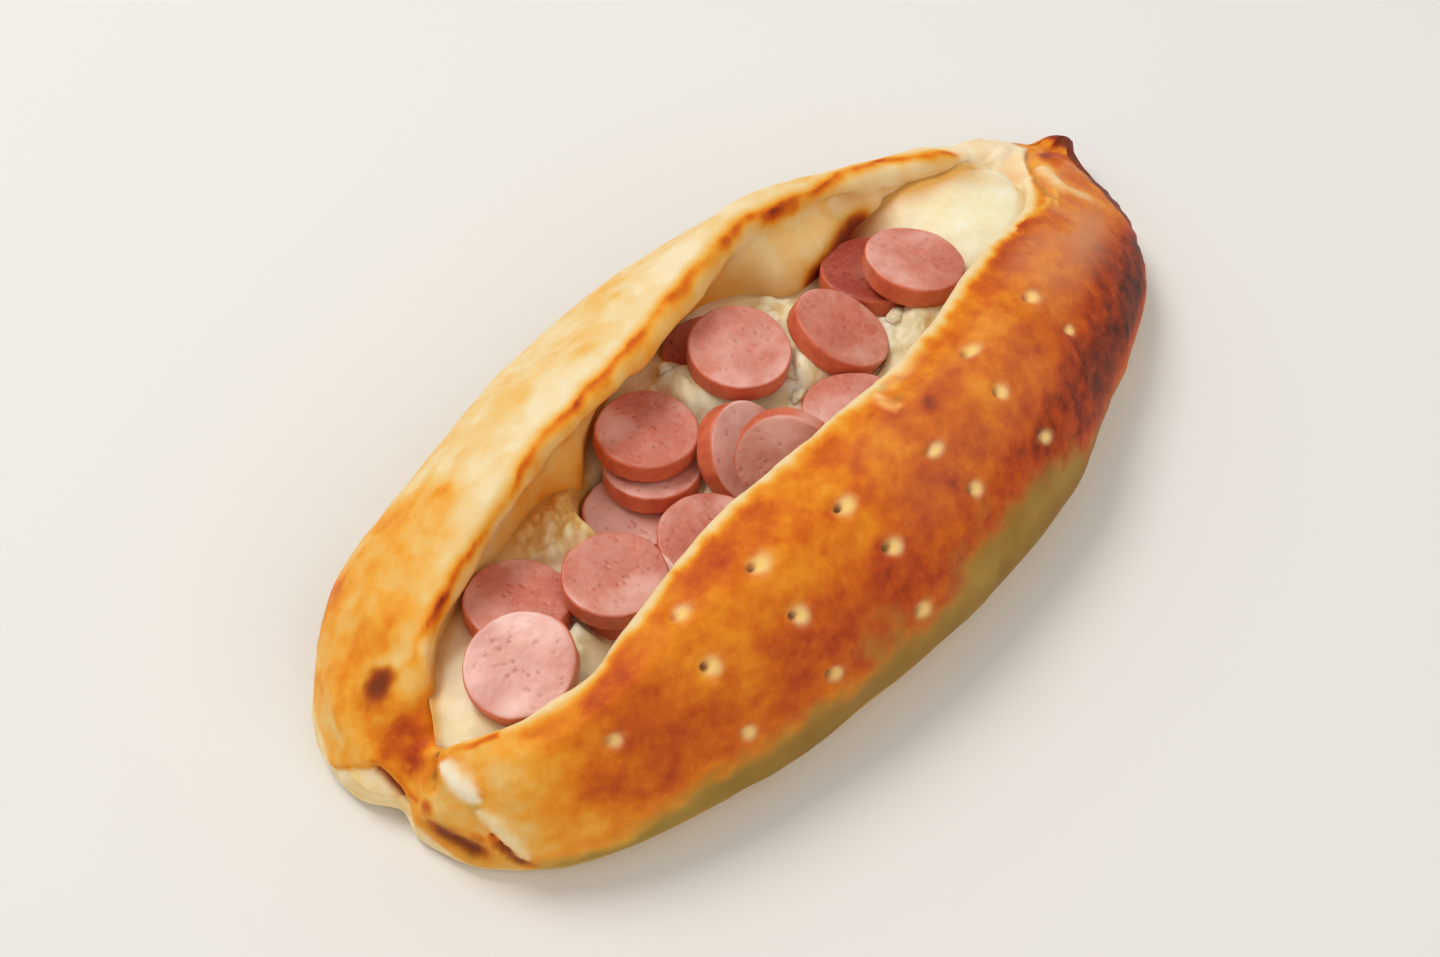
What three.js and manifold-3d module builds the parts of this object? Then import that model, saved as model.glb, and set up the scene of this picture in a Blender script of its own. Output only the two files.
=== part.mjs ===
// Manakish: an oval flatbread folded up from both long sides over cheese and sausage slices.
// Millimetres, +Z up. +X runs from the pinched near end to the pointed far end, +Y to the narrow flap.
// The loaf is one closed skin of cross-sections; the cheese fills it up to a lumpy level and is cut
// round the sixteen sausage slices, each of which is a bevelled disc of its own.
import * as THREE from 'three';
import Module from 'manifold-3d';

const wasm = await Module();
wasm.setup();
const { Manifold, Mesh } = wasm;

// ------------------------------------------------------------------ driving dimensions
const HALF_LENGTH = 128.9;      // x = HALF_LENGTH * sin(theta)
const GAP = 0.35;               // clearance between touching pieces
const TIP_Z = [7.0, 8.0];       // height of the two rounded tips
const SLICE_BEVEL = 0.7;        // rounding of a slice's edge
const SLICE_SIDES = 20;
const DOCK_RADIUS = 1.3;        // hole left by the dough docker
const DOCK_DEPTH = 2.2;
const CHEESE_STEP_X = 5.0;      // grid of the cheese body
const CHEESE_ACROSS = 9;
const WALL_CLEARANCE = 0.95;    // the cheese stands this far off the flaps

// outline seen from above: theta (degrees), right edge y, left edge y
const OUTLINE = [
  [-90, -4.5, -4.5], [-80, -13.4, 14.7], [-70, -26.9, 24.0], [-60, -39.6, 32.6], [-45, -50.2, 43.6],
  [-30, -57.9, 48.0], [-10, -64.2, 55.7], [10, -61.6, 52.8], [30, -49.3, 38.8], [45, -38.2, 30.0],
  [60, -23.0, 19.5], [75, 3.6, 14.6], [90, 9.0, 9.0],
];
// crests: x, height of the right flap, height of the left flap
const CREST = [
  [-129, 8, 8], [-124, 17, 17], [-116, 26, 25], [-106, 31.5, 31], [-90, 37, 36.5], [-70, 40.5, 40],
  [-40, 42.5, 41.5], [0, 42.5, 41.5], [30, 40, 38.5], [50, 37, 34.5], [70, 33, 30.5], [85, 28.5, 27.5],
  [96, 24.5, 23], [108, 19.5, 18], [118, 15.5, 14.5], [125, 12, 11.5], [129, 10, 10],
];
// mouth: x, right lip y, left ridge y, left inner wall y, right undercut y, height of the floor
const MOUTH = [
  [-129, -5.4, -4.6, -4.9, -5.1, 17], [-122, -10.4, -9.4, -9.8, -10.2, 17], [-118, -13.0, -10.0, -11.5, -12.8, 16],
  [-114, -16.5, -5.5, -8.0, -17.0, 14], [-108, -21.5, 1.5, -2.0, -24.0, 10], [-100, -26.0, 7.0, 6.0, -33.0, 7],
  [-90, -28.3, 10.5, 11.0, -38.0, 6], [-80, -27.3, 13.3, 14.0, -40.0, 6], [-70, -25.4, 15.3, 16.5, -40.0, 6],
  [-58, -23.8, 17.5, 18.5, -39.0, 6], [-49, -23.3, 17.7, 15.8, -38.5, 6], [-40, -23.3, 18.7, 22.0, -38.0, 6],
  [-28, -23.3, 19.8, 28.3, -38.0, 6], [-9, -23.4, 23.8, 31.5, -38.0, 6], [9, -23.6, 28.5, 32.6, -37.0, 6],
  [18, -22.6, 30.7, 27.7, -35.0, 6], [26, -21.5, 31.8, 18.0, -33.0, 6], [38, -18.5, 31.0, 15.3, -29.0, 6],
  [46, -16.2, 29.6, 17.0, -26.0, 6], [55, -14.2, 27.0, 20.5, -23.0, 6], [66, -11.8, 23.4, 18.0, -20.0, 7],
  [78, -10.0, 19.2, 15.2, -16.0, 8], [86, -6.5, 16.0, 13.0, -12.0, 11], [92, -0.5, 11.5, 9.0, -5.0, 15],
  [96, 4.0, 6.0, 5.4, 4.3, 18], [110, 7.6, 9.0, 8.5, 8.0, 14], [129, 8.8, 9.2, 9.1, 8.9, 10],
];
// level of the cheese along the length: x, height
const CHEESE = [
  [-118, 20.5], [-110, 23], [-100, 23.5], [-90, 22], [-75, 20.5], [-60, 20.5], [-45, 19], [-30, 19.5], [-15, 21],
  [0, 21], [12, 21.5], [30, 20.5], [42, 21], [55, 22.5], [65, 25], [76, 26], [86, 24.5], [93, 22],
];
// lumps standing on that level: x, y, rise, spread
const LUMPS = [
  [-57, 9, 2.4, 6], [-14, 18, 2.6, 6], [13, -5, 4.0, 4.5], [41, -12, 3.0, 6], [76, 5, 1.6, 9], [-103, -12, 1.4, 8],
  [-4, -2, -2.5, 6], [30, 12, -2.0, 8],
];
// sausage slices: middle of the upper face x, y, z, lean of its axis nx, ny, radius, thickness
const SLICES = [
  [-95.87, -13.33, 31.7, -0.248, -0.082, 11.75, 5.0], [-82.35, 1.3, 26.9, 0.069, 0.043, 11.4, 5.0],
  [-67.1, -12.3, 32.2, 0.026, 0.008, 11.4, 5.0], [-64.6, -13.1, 26.7, 0.020, 0.012, 11.4, 5.0],
  [-41.6, -15.1, 23.9, -0.007, -0.003, 11.4, 5.0], [-43.7, 4.8, 17.5, 0.036, 0.017, 11.4, 5.0],
  [-34.3, 7.95, 22.7, 0.080, 0.031, 11.4, 5.0], [-31.6, 11.8, 28.7, 0.072, -0.035, 11.75, 5.2],
  [-18.16, -6.5, 23.2, 0.200, -0.758, 12.0, 5.0], [-19.8, -18.15, 29.8, -0.734, -0.512, 11.4, 5.0],
  [-1.7, 11.0, 31.8, -0.001, -0.121, 12.1, 5.2], [21.0, -0.8, 28.65, 0.349, -0.297, 12.4, 5.0],
  [3.65, -17.75, 28.1, 0.000, 0.080, 11.6, 5.0], [43.0, 8.3, 24.2, 0.112, 0.046, 11.5, 5.0],
  [48.3, -0.1, 30.1, 0.193, -0.034, 12.3, 5.4], [-0.8, 20.2, 24.3, 0.040, 0.055, 11.5, 5.0],
];
// docking holes of the right flap: x, y, in three rows about 25 mm apart
const DOCKS = [
  [-68, -29], [-48, -33], [-23.5, -36], [30, -28], [52.5, -29],
  [-98, -40], [-73, -43], [-51.5, -47.5], [-26, -51], [0, -41.5], [24, -42], [50, -42.5],
  [-80, -58.5], [-58, -61], [-34, -63], [-2, -55], [19.5, -56],
];

const COLOURS = {
  crust: 0xc9842f, cheese: 0xece4cb, sausage: 0xc98078,
};

// ------------------------------------------------------------------ helpers
const clamp = (v, a, b) => Math.min(b, Math.max(a, v));
const lerp = (a, b, t) => a + (b - a) * t;
const gauss = (x, c, s) => Math.exp(-0.5 * ((x - c) / s) ** 2);
const smooth = (a, b, x) => { const t = clamp((x - a) / (b - a), 0, 1); return t * t * (3 - 2 * t); };
const rad = Math.PI / 180;

// monotone cubic through the rows of a table whose first column is the station
function pchip(table) {
  const n = table.length, w = table[0].length - 1;
  const h = [], d = [];
  for (let i = 0; i < n - 1; i++) {
    h.push(table[i + 1][0] - table[i][0]);
    d.push(Array.from({ length: w }, (_, k) => (table[i + 1][k + 1] - table[i][k + 1]) / h[i]));
  }
  const m = table.map((_, i) => Array.from({ length: w }, (_, k) => {
    if (i === 0) return d[0][k];
    if (i === n - 1) return d[n - 2][k];
    const a = d[i - 1][k], b = d[i][k];
    if (a * b <= 0) return 0;
    const w1 = 2 * h[i] + h[i - 1], w2 = h[i] + 2 * h[i - 1];
    return (w1 + w2) / (w1 / a + w2 / b);
  }));
  return (x) => {
    x = clamp(x, table[0][0], table[n - 1][0]);
    let i = 0;
    while (i < n - 2 && x >= table[i + 1][0]) i++;
    const t = (x - table[i][0]) / h[i], t2 = t * t, t3 = t2 * t;
    return Array.from({ length: w }, (_, k) =>
      (2 * t3 - 3 * t2 + 1) * table[i][k + 1] + (t3 - 2 * t2 + t) * h[i] * m[i][k]
      + (-2 * t3 + 3 * t2) * table[i + 1][k + 1] + (t3 - t2) * h[i] * m[i + 1][k]);
  };
}
const outlineAt = pchip(OUTLINE), crestAt = pchip(CREST), mouthAt = pchip(MOUTH), cheeseAt = pchip(CHEESE);

// ------------------------------------------------------------------ one cross-section of the loaf
const CONTROLS = 36;
function controls(theta) {
  const x = HALF_LENGTH * Math.sin(theta * rad);
  const [R, L] = outlineAt(theta), [hR, hL] = crestAt(x), [lR, lL, wL, cR, floor] = mouthAt(x);
  const mid = (lR + lL) / 2, gap = lL - lR;
  const kR = clamp((mid - R) / 62, 0.02, 1.05), kL = clamp((L - mid) / 55, 0.02, 1.05);
  const vR = hR / 42, vL = hL / 42, o = clamp(gap / 18, 0.03, 1);
  const zR = hR - 1.8 * o, zL = hL - 1.0 * o;
  const c = [];
  const add = (y, z) => c.push([y, z]);
  // base and right side
  add(mid, 0); add(mid + (R - mid) * 0.5, 0); add(R + 12 * kR, 0); add(R + 6 * kR, 0);
  add(R - 0.6 * kR, 5 * vR); add(R - 1.9 * kR, 14 * vR); add(R + 1.2 * kR, 25 * vR); add(R + 9 * kR, 35 * vR);
  // right flap out to its lip and back under it
  const yA = R + 19 * kR, yB = lR - 7 * clamp(gap / 30, 0.15, 1) * clamp(kR * 2, 0, 1);
  add(yA + (yB - yA) * 0.12, hR + 1.0 * vR); add(yA + (yB - yA) * 0.60, hR + 1.7 * vR); add(yB, hR + 0.9 * vR * o);
  add(lR - 2.0 * o, zR + 1.9 * o); add(lR + 2.2 * o, zR + 0.6 * o); add(lR + 1.2 * o, zR - 4.0 * o); add(lR - 4.5 * o, zR - 6.4 * o);
  const zc = floor + (Math.min(zR, zL) - floor) * 0.5;
  add(cR, Math.min(zc, zR - 7.5 * o)); add(cR - 1.0 * o, floor + 2.5 * o);
  // floor and left inner wall, whose bulge hangs over the filling
  const bulge = gauss(x, 39, 9), cL = wL + 2.0 * o + 7.0 * bulge;
  add(cR + (cL - cR) * 0.25, floor); add(cR + (cL - cR) * 0.5, floor - 0.3 * o); add(cR + (cL - cR) * 0.75, floor);
  add(cL, floor + 2.5 * o); add(wL + 0.5 * o + 1.5 * bulge, Math.min(zc, zL - 8 * o) + 2.5 * bulge);
  add(wL + (lL - wL) * 0.45 + 0.6 * o, zL - (zL - floor) * 0.26);
  // left ridge and left side
  add(lL - 0.8 * o, zL - 4.6 * o); add(lL - 2.2 * o, zL - 0.6 * o); add(lL + 1.2 * o, zL + 2.2 * o);
  add(lL + 6.0 * o * clamp(kL * 1.6, 0, 1), zL + 1.2 * o);
  const yD = L - 15 * kL;
  add(lL + (yD - lL) * 0.60, hL + 0.3 * vL); add(yD + 1.0 * kL, 36.5 * vL); add(L - 5.5 * kL, 29.5 * vL);
  add(L - 0.3 * kL, 19.5 * vL); add(L + 1.6 * kL, 10 * vL); add(L + 0.3 * kL, 3.2 * vL);
  add(L - 6.5 * kL, 0); add(L - 12 * kL, 0); add(mid + (L - mid) * 0.5, 0);
  // past the mouth the two flaps meet along a shallow crease
  const k0 = 9, k1 = 28, ya = c[k0][0], yb = c[k1][0], s = smooth(0.05, 0.42, gap / 18);
  for (let k = k0; k <= k1; k++) {
    const t = (k - k0) / (k1 - k0), y = lerp(ya, yb, t);
    const z = lerp(hR + 1.2 * vR, hL + 0.3 * vL, t) - Math.min(2.2, 0.12 * hR) * gauss(y, mid, 0.16 * (yb - ya) + 0.3);
    c[k] = [lerp(y, c[k][0], s), lerp(z, c[k][1], s)];
  }
  // the rounded tips
  const q = clamp(Math.cos(theta * rad) / Math.cos(66 * rad), 0, 1), sz = Math.sqrt(Math.max(0, 1 - (1 - q) ** 2));
  const p = clamp(Math.cos(theta * rad) / Math.cos(80 * rad), 0, 1), sy = Math.sqrt(Math.max(0, 1 - (1 - p) ** 2));
  const zt = theta < 0 ? TIP_Z[0] : TIP_Z[1], yt = theta < 0 ? OUTLINE[0][1] : OUTLINE[OUTLINE.length - 1][1];
  return c.map(([y, z]) => [yt + (y - yt) * sy, zt + (z - zt) * sz]);
}
// closed uniform cubic B-spline
function spline(c, v) {
  const m = c.length, i = Math.floor(v), t = v - i;
  const b = [(1 - t) ** 3 / 6, (3 * t ** 3 - 6 * t * t + 4) / 6, (-3 * t ** 3 + 3 * t * t + 3 * t + 1) / 6, t ** 3 / 6];
  let y = 0, z = 0;
  for (let k = 0; k < 4; k++) { const q = c[(i + k - 1 + m) % m]; y += q[0] * b[k]; z += q[1] * b[k]; }
  return [y, z];
}
// the pinched notch of the near end
const pinch = (x, y) => x + 4.6 * gauss(y, -6.5, 4.2) / (1 + Math.exp((x + 112) / 3));

// rings of points, first and last ring closing to a fan, as one manifold
function ringSolid(rings, startPoint, endPoint) {
  const n = rings.length, m = rings[0].length, p = [], t = [];
  rings.forEach((r) => r.forEach((q) => p.push(...q)));
  for (let i = 0; i < n - 1; i++) for (let j = 0; j < m; j++) {
    const a = i * m + j, b = i * m + (j + 1) % m, c = a + m, d = b + m;
    t.push(a, c, d, a, d, b);
  }
  const s = n * m, e = s + 1;
  p.push(...startPoint, ...endPoint);
  for (let j = 0; j < m; j++) {
    const k = (j + 1) % m;
    t.push(s, j, k);
    t.push(e, (n - 1) * m + k, (n - 1) * m + j);
  }
  return new Manifold(new Mesh({ numProp: 3, vertProperties: new Float32Array(p), triVerts: new Uint32Array(t) }));
}

// ------------------------------------------------------------------ dough
const stations = [];
{
  const spans = [[-88.2, -66, 9], [-66, 44, 31], [44, 88.2, 13]];
  for (const [a, b, n] of spans) for (let i = 0; i < n; i++) stations.push(lerp(a, b, i / n));
  stations.push(88.2);
}
const vSteps = [0, 1.2, 2.0, 2.7, 3.4, 4.2, 5.1, 6, 7, 8, 9, 10, 10.8, 11.4, 11.9, 12.4, 12.9, 13.5, 14.3, 15.1, 16,
  17.3, 18.7, 20.0, 20.8, 21.6, 22.4, 23.2, 23.9, 24.5, 25.1, 25.8, 26.6, 27.6, 28.6, 29.6, 30.6, 31.5, 32.3, 33.1, 34.0, 34.9];
const doughRings = stations.map((th) => {
  const c = controls(th), x = HALF_LENGTH * Math.sin(th * rad);
  return vSteps.map((v) => { const [y, z] = spline(c, v); return [pinch(x, y), y, z]; });
});
let dough = ringSolid(doughRings, [pinch(-HALF_LENGTH, -4.5), -4.5, TIP_Z[0]], [HALF_LENGTH, 9, TIP_Z[1]]);
if (dough.volume() < 0) throw new Error('dough is inside out');

// a docking hole is a small cone sunk square to the crust
function crustPoint(x, y) {
  const th = Math.asin(x / HALF_LENGTH) / rad, c = controls(th);
  let best = null;
  for (let v = 4; v < 12; v += 0.05) {
    const [yy, zz] = spline(c, v);
    if (!best || Math.abs(yy - y) < Math.abs(best[1] - y)) best = [x, yy, zz, v];
  }
  const [y0, z0] = spline(c, best[3] - 0.3), [y1, z1] = spline(c, best[3] + 0.3);
  const n = new THREE.Vector3(0, -(z1 - z0), y1 - y0).normalize();
  return [new THREE.Vector3(x, best[1], best[2]), n];
}
for (const [x, y] of DOCKS) {
  const [p, n] = crustPoint(x, y);
  const height = DOCK_DEPTH * 2.2;
  const cone = Manifold.cylinder(height, 0.25, DOCK_RADIUS * 1.9, 6);
  const m = new THREE.Matrix4().makeRotationFromQuaternion(new THREE.Quaternion().setFromUnitVectors(new THREE.Vector3(0, 0, 1), n));
  m.setPosition(p.clone().addScaledVector(n, -DOCK_DEPTH));
  dough = dough.subtract(cone.transform(m.elements));
}

// ------------------------------------------------------------------ slices
// a bevelled disc whose rim is a touch out of round; grow makes the clearance body
function slice([x, y, z, nx, ny, r, t], k, grow = 0, lift = 0) {
  const n = new THREE.Vector3(nx, ny, Math.sqrt(1 - nx * nx - ny * ny));
  const R = r + grow, B = SLICE_BEVEL, T = t + 2 * grow;
  const rings = [[R - B, 0], [R, B], [R, T - B], [R - B, T]].map(([rr, zz]) =>
    Array.from({ length: SLICE_SIDES }, (_, j) => {
      const a = (j / SLICE_SIDES) * 2 * Math.PI, w = 1 + 0.006 * Math.cos(2 * a + k) + 0.004 * Math.cos(3 * a + 2 * k);
      return [rr * w * Math.cos(a), rr * w * Math.sin(a), zz - t - grow];
    }));
  const p = [], tri = [];
  rings.forEach((ring) => ring.forEach((q) => p.push(...q)));
  const s = SLICE_SIDES, lo = 4 * s, hi = lo + 1;
  p.push(0, 0, -t - grow, 0, 0, grow);
  for (let i = 0; i < 3; i++) for (let j = 0; j < s; j++) {
    const a = i * s + j, b = i * s + (j + 1) % s;
    tri.push(a, b, b + s, a, b + s, a + s);
  }
  for (let j = 0; j < s; j++) { const b = (j + 1) % s; tri.push(lo, b, j, hi, 3 * s + j, 3 * s + b); }
  const m = new THREE.Matrix4().makeRotationFromQuaternion(new THREE.Quaternion().setFromUnitVectors(new THREE.Vector3(0, 0, 1), n));
  m.setPosition(x, y, z);
  const disc = new Manifold(new Mesh({ numProp: 3, vertProperties: new Float32Array(p), triVerts: new Uint32Array(tri) })).transform(m.elements);
  return lift ? Manifold.hull([disc, disc.translate([0, 0, lift])]) : disc;
}

// ------------------------------------------------------------------ cheese
// walls of the hollow at one station and height
function hollow(th) {
  const c = controls(th);
  const right = vSteps.filter((v) => v > 12 && v < 19).map((v) => spline(c, v));
  const left = vSteps.filter((v) => v > 18 && v < 26).map((v) => spline(c, v));
  const at = (pts, z, pick) => {
    let y = null;
    for (let i = 0; i + 1 < pts.length; i++) {
      const [ya, za] = pts[i], [yb, zb] = pts[i + 1];
      if ((za - z) * (zb - z) <= 0 && za !== zb) { const q = lerp(ya, yb, (z - za) / (zb - za)); y = y === null ? q : pick(y, q); }
    }
    return y;
  };
  return (z) => [at(right, z, Math.max), at(left, z, Math.min)];
}
function cheeseLevel(x, y) {
  let z = cheeseAt(x)[0];
  for (const [cx, cy, up, s] of LUMPS) z += up * gauss(x, cx, s) * gauss(y, cy, s);
  return z + 0.5 * Math.sin(x * 0.31 + 1.3 * Math.sin(y * 0.23)) * Math.cos(y * 0.37 + 0.7 * Math.sin(x * 0.17));
}
const cheeseRings = [];
for (let x = -116.2; x <= 92.6; x += CHEESE_STEP_X) {
  const th = Math.asin(x / HALF_LENGTH) / rad, floor = mouthAt(x)[4] + 1.4;
  const top = Math.min(cheeseAt(x)[0], crestAt(x)[1] - 3.6);
  const levels = [0, 0.3, 0.62, 1].map((q) => lerp(floor, top, q)), last = levels.length - 1;
  // the narrowest width over the half step before and after, so that flat facets stay clear too
  const w = levels.map((z) => [-1, -0.5, 0, 0.5, 1].map((d) => {
    const t = Math.asin((x + d * CHEESE_STEP_X * 0.5) / HALF_LENGTH) / rad;
    return hollow(t)(z);
  }).reduce((a, q) => (a === null || q[0] === null || q[1] === null ? null : [Math.max(a[0], q[0]), Math.min(a[1], q[1])]), [-99, 99]));
  if (w.some((q) => q === null || q[1] - q[0] < 2 * WALL_CLEARANCE + 1.2)) continue;
  const ring = [];
  for (let j = 0; j <= last; j++) ring.push([x, w[j][0] + WALL_CLEARANCE, levels[j]]);            // up the right wall
  for (let j = 1; j < CHEESE_ACROSS; j++) {
    const y = lerp(w[last][0] + WALL_CLEARANCE, w[last][1] - WALL_CLEARANCE, j / CHEESE_ACROSS);
    ring.push([x, y, Math.max(Math.min(cheeseLevel(x, y), crestAt(x)[1] - 2.8), floor + 0.8)]);
  }
  for (let j = last; j >= 0; j--) ring.push([x, w[j][1] - WALL_CLEARANCE, levels[j]]);            // down the left wall
  cheeseRings.push(ring);
}
const centre = (ring, dx) => {
  const n = ring.length, s = ring.reduce((a, q) => [a[0] + q[0] / n, a[1] + q[1] / n, a[2] + q[2] / n], [0, 0, 0]);
  return [s[0] + dx, s[1], s[2]];
};
let cheese = ringSolid(cheeseRings, centre(cheeseRings[0], -0.8), centre(cheeseRings[cheeseRings.length - 1], 0.8));
if (cheese.volume() < 0) throw new Error('cheese is inside out');
// wells round the slices, open upwards
SLICES.forEach((s, k) => { cheese = cheese.subtract(slice(s, k, GAP, 24)); });
cheese = cheese.decompose().sort((a, b) => b.volume() - a.volume())[0];
cheese = cheese.simplify ? cheese.simplify(0.05) : cheese;

// ------------------------------------------------------------------ scene graph
function toMesh(solid, name, colour, roughness) {
  const m = solid.getMesh(), g = new THREE.BufferGeometry(), n = m.vertProperties.length / m.numProp, p = new Float32Array(n * 3);
  for (let i = 0; i < n; i++) for (let k = 0; k < 3; k++) p[i * 3 + k] = m.vertProperties[i * m.numProp + k];
  g.setAttribute('position', new THREE.BufferAttribute(p, 3));
  g.setIndex(new THREE.BufferAttribute(new Uint32Array(m.triVerts), 1));
  g.computeVertexNormals();
  const mesh = new THREE.Mesh(g, new THREE.MeshStandardMaterial({ color: colour, roughness, metalness: 0 }));
  mesh.name = name;
  return mesh;
}
// the row's origin is the middle of the underside of the whole part
const box = dough.boundingBox();
const manakish = new THREE.Group();
manakish.name = 'manakish';
manakish.position.set(-(box.min[0] + box.max[0]) / 2, -(box.min[1] + box.max[1]) / 2, -box.min[2]);
manakish.add(toMesh(dough, 'dough', COLOURS.crust, 0.6));
manakish.add(toMesh(cheese, 'cheese', COLOURS.cheese, 0.45));
SLICES.forEach((s, k) => manakish.add(toMesh(slice(s, k), `slice_${String(k + 1).padStart(2, '0')}`, COLOURS.sausage, 0.4)));

export default manakish;
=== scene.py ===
import math
import bmesh
import bpy
import numpy as np
from mathutils import Matrix, Vector


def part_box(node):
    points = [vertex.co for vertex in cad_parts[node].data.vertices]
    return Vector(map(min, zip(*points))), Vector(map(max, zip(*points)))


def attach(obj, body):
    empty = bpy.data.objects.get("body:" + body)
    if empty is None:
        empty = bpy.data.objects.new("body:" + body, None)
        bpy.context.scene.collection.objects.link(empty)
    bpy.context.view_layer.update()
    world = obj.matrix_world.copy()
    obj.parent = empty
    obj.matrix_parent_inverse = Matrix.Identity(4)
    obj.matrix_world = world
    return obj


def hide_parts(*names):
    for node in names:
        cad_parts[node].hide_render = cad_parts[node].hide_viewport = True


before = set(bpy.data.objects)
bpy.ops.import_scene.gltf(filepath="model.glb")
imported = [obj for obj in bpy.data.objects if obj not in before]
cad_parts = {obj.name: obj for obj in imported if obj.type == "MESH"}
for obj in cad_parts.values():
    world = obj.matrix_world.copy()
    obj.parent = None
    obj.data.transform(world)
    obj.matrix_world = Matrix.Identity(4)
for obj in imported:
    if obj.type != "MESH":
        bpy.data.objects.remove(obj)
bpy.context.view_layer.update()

# =====================================================================================
# The loaf, in millimetres, by the same named sizes as the CAD part.
# =====================================================================================
XA = 128.9
OUTLINE = np.array([
    [-90, -4.5, -4.5], [-80, -13.4, 14.7], [-70, -26.9, 24.0], [-60, -39.6, 32.6], [-45, -50.2, 43.6],
    [-30, -57.9, 48.0], [-10, -64.2, 55.7], [10, -61.6, 52.8], [30, -49.3, 38.8], [45, -38.2, 30.0],
    [60, -23.0, 19.5], [75, 3.6, 14.6], [90, 9.0, 9.0]], float)
CREST = np.array([
    [-129, 8, 8], [-124, 17, 17], [-116, 26, 25], [-106, 31.5, 31], [-90, 37, 36.5], [-70, 40.5, 40],
    [-40, 42.5, 41.5], [0, 42.5, 41.5], [30, 40, 38.5], [50, 37, 34.5], [70, 33, 30.5], [85, 28.5, 27.5],
    [96, 24.5, 23], [108, 19.5, 18], [118, 15.5, 14.5], [125, 12, 11.5], [129, 10, 10]], float)
MOUTH = np.array([
    [-129, -5.4, -4.6, -4.9, -5.1, 17], [-122, -10.4, -9.4, -9.8, -10.2, 17], [-118, -13.0, -10.0, -11.5, -12.8, 16],
    [-114, -16.5, -5.5, -8.0, -17.0, 14], [-108, -21.5, 1.5, -2.0, -24.0, 10], [-100, -26.0, 7.0, 6.0, -33.0, 7],
    [-90, -28.3, 10.5, 11.0, -38.0, 6], [-80, -27.3, 13.3, 14.0, -40.0, 6], [-70, -25.4, 15.3, 16.5, -40.0, 6],
    [-58, -23.8, 17.5, 18.5, -39.0, 6], [-49, -23.3, 17.7, 15.8, -38.5, 6], [-40, -23.3, 18.7, 22.0, -38.0, 6],
    [-28, -23.3, 19.8, 28.3, -38.0, 6], [-9, -23.4, 23.8, 31.5, -38.0, 6], [9, -23.6, 28.5, 32.6, -37.0, 6],
    [18, -22.6, 30.7, 27.7, -35.0, 6], [26, -21.5, 31.8, 18.0, -33.0, 6], [38, -18.5, 31.0, 15.3, -29.0, 6],
    [46, -16.2, 29.6, 17.0, -26.0, 6], [55, -14.2, 27.0, 20.5, -23.0, 6], [66, -11.8, 23.4, 18.0, -20.0, 7],
    [78, -10.0, 19.2, 15.2, -16.0, 8], [86, -6.5, 16.0, 13.0, -12.0, 11], [92, -0.5, 11.5, 9.0, -5.0, 15],
    [96, 4.0, 6.0, 5.4, 4.3, 18], [110, 7.6, 9.0, 8.5, 8.0, 14], [129, 8.8, 9.2, 9.1, 8.9, 10]], float)
TIP_Z = (7.0, 8.0)
NC = 36


def pchip(xk, yk, x):
    xk = np.asarray(xk, float); yk = np.asarray(yk, float); x = np.clip(np.asarray(x, float), xk[0], xk[-1])
    h = np.diff(xk); d = np.diff(yk, axis=0) / (h[:, None] if yk.ndim > 1 else h)
    m = np.zeros_like(yk)
    for i in range(1, len(xk) - 1):
        w1 = 2 * h[i] + h[i - 1]; w2 = h[i] + 2 * h[i - 1]
        a, b = d[i - 1], d[i]
        with np.errstate(divide='ignore', invalid='ignore'):
            v = (w1 + w2) / (w1 / a + w2 / b)
        m[i] = np.where(a * b > 0, v, 0)
    m[0] = d[0]; m[-1] = d[-1]
    i = np.clip(np.searchsorted(xk, x, side='right') - 1, 0, len(xk) - 2)
    hh = h[i]; t = (x - xk[i]) / hh
    if yk.ndim > 1:
        hh = hh[:, None]; t = t[:, None]
    return (2*t**3 - 3*t**2 + 1)*yk[i] + (t**3 - 2*t**2 + t)*hh*m[i] + (-2*t**3 + 3*t**2)*yk[i+1] + (t**3 - t**2)*hh*m[i+1]


def gauss(x, c, s):
    return np.exp(-0.5 * ((x - c) / s) ** 2)


def smooth(a, b, x):
    t = np.clip((x - a) / (b - a), 0, 1)
    return t * t * (3 - 2 * t)


def params(th):
    x = XA * np.sin(np.radians(th))
    o = pchip(OUTLINE[:, 0], OUTLINE[:, 1:], th)
    k = pchip(CREST[:, 0], CREST[:, 1:], x)
    m = pchip(MOUTH[:, 0], MOUTH[:, 1:], x)
    return x, o[:, 0], o[:, 1], k[:, 0], k[:, 1], m[:, 0], m[:, 1], m[:, 2], m[:, 3], m[:, 4]


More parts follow.
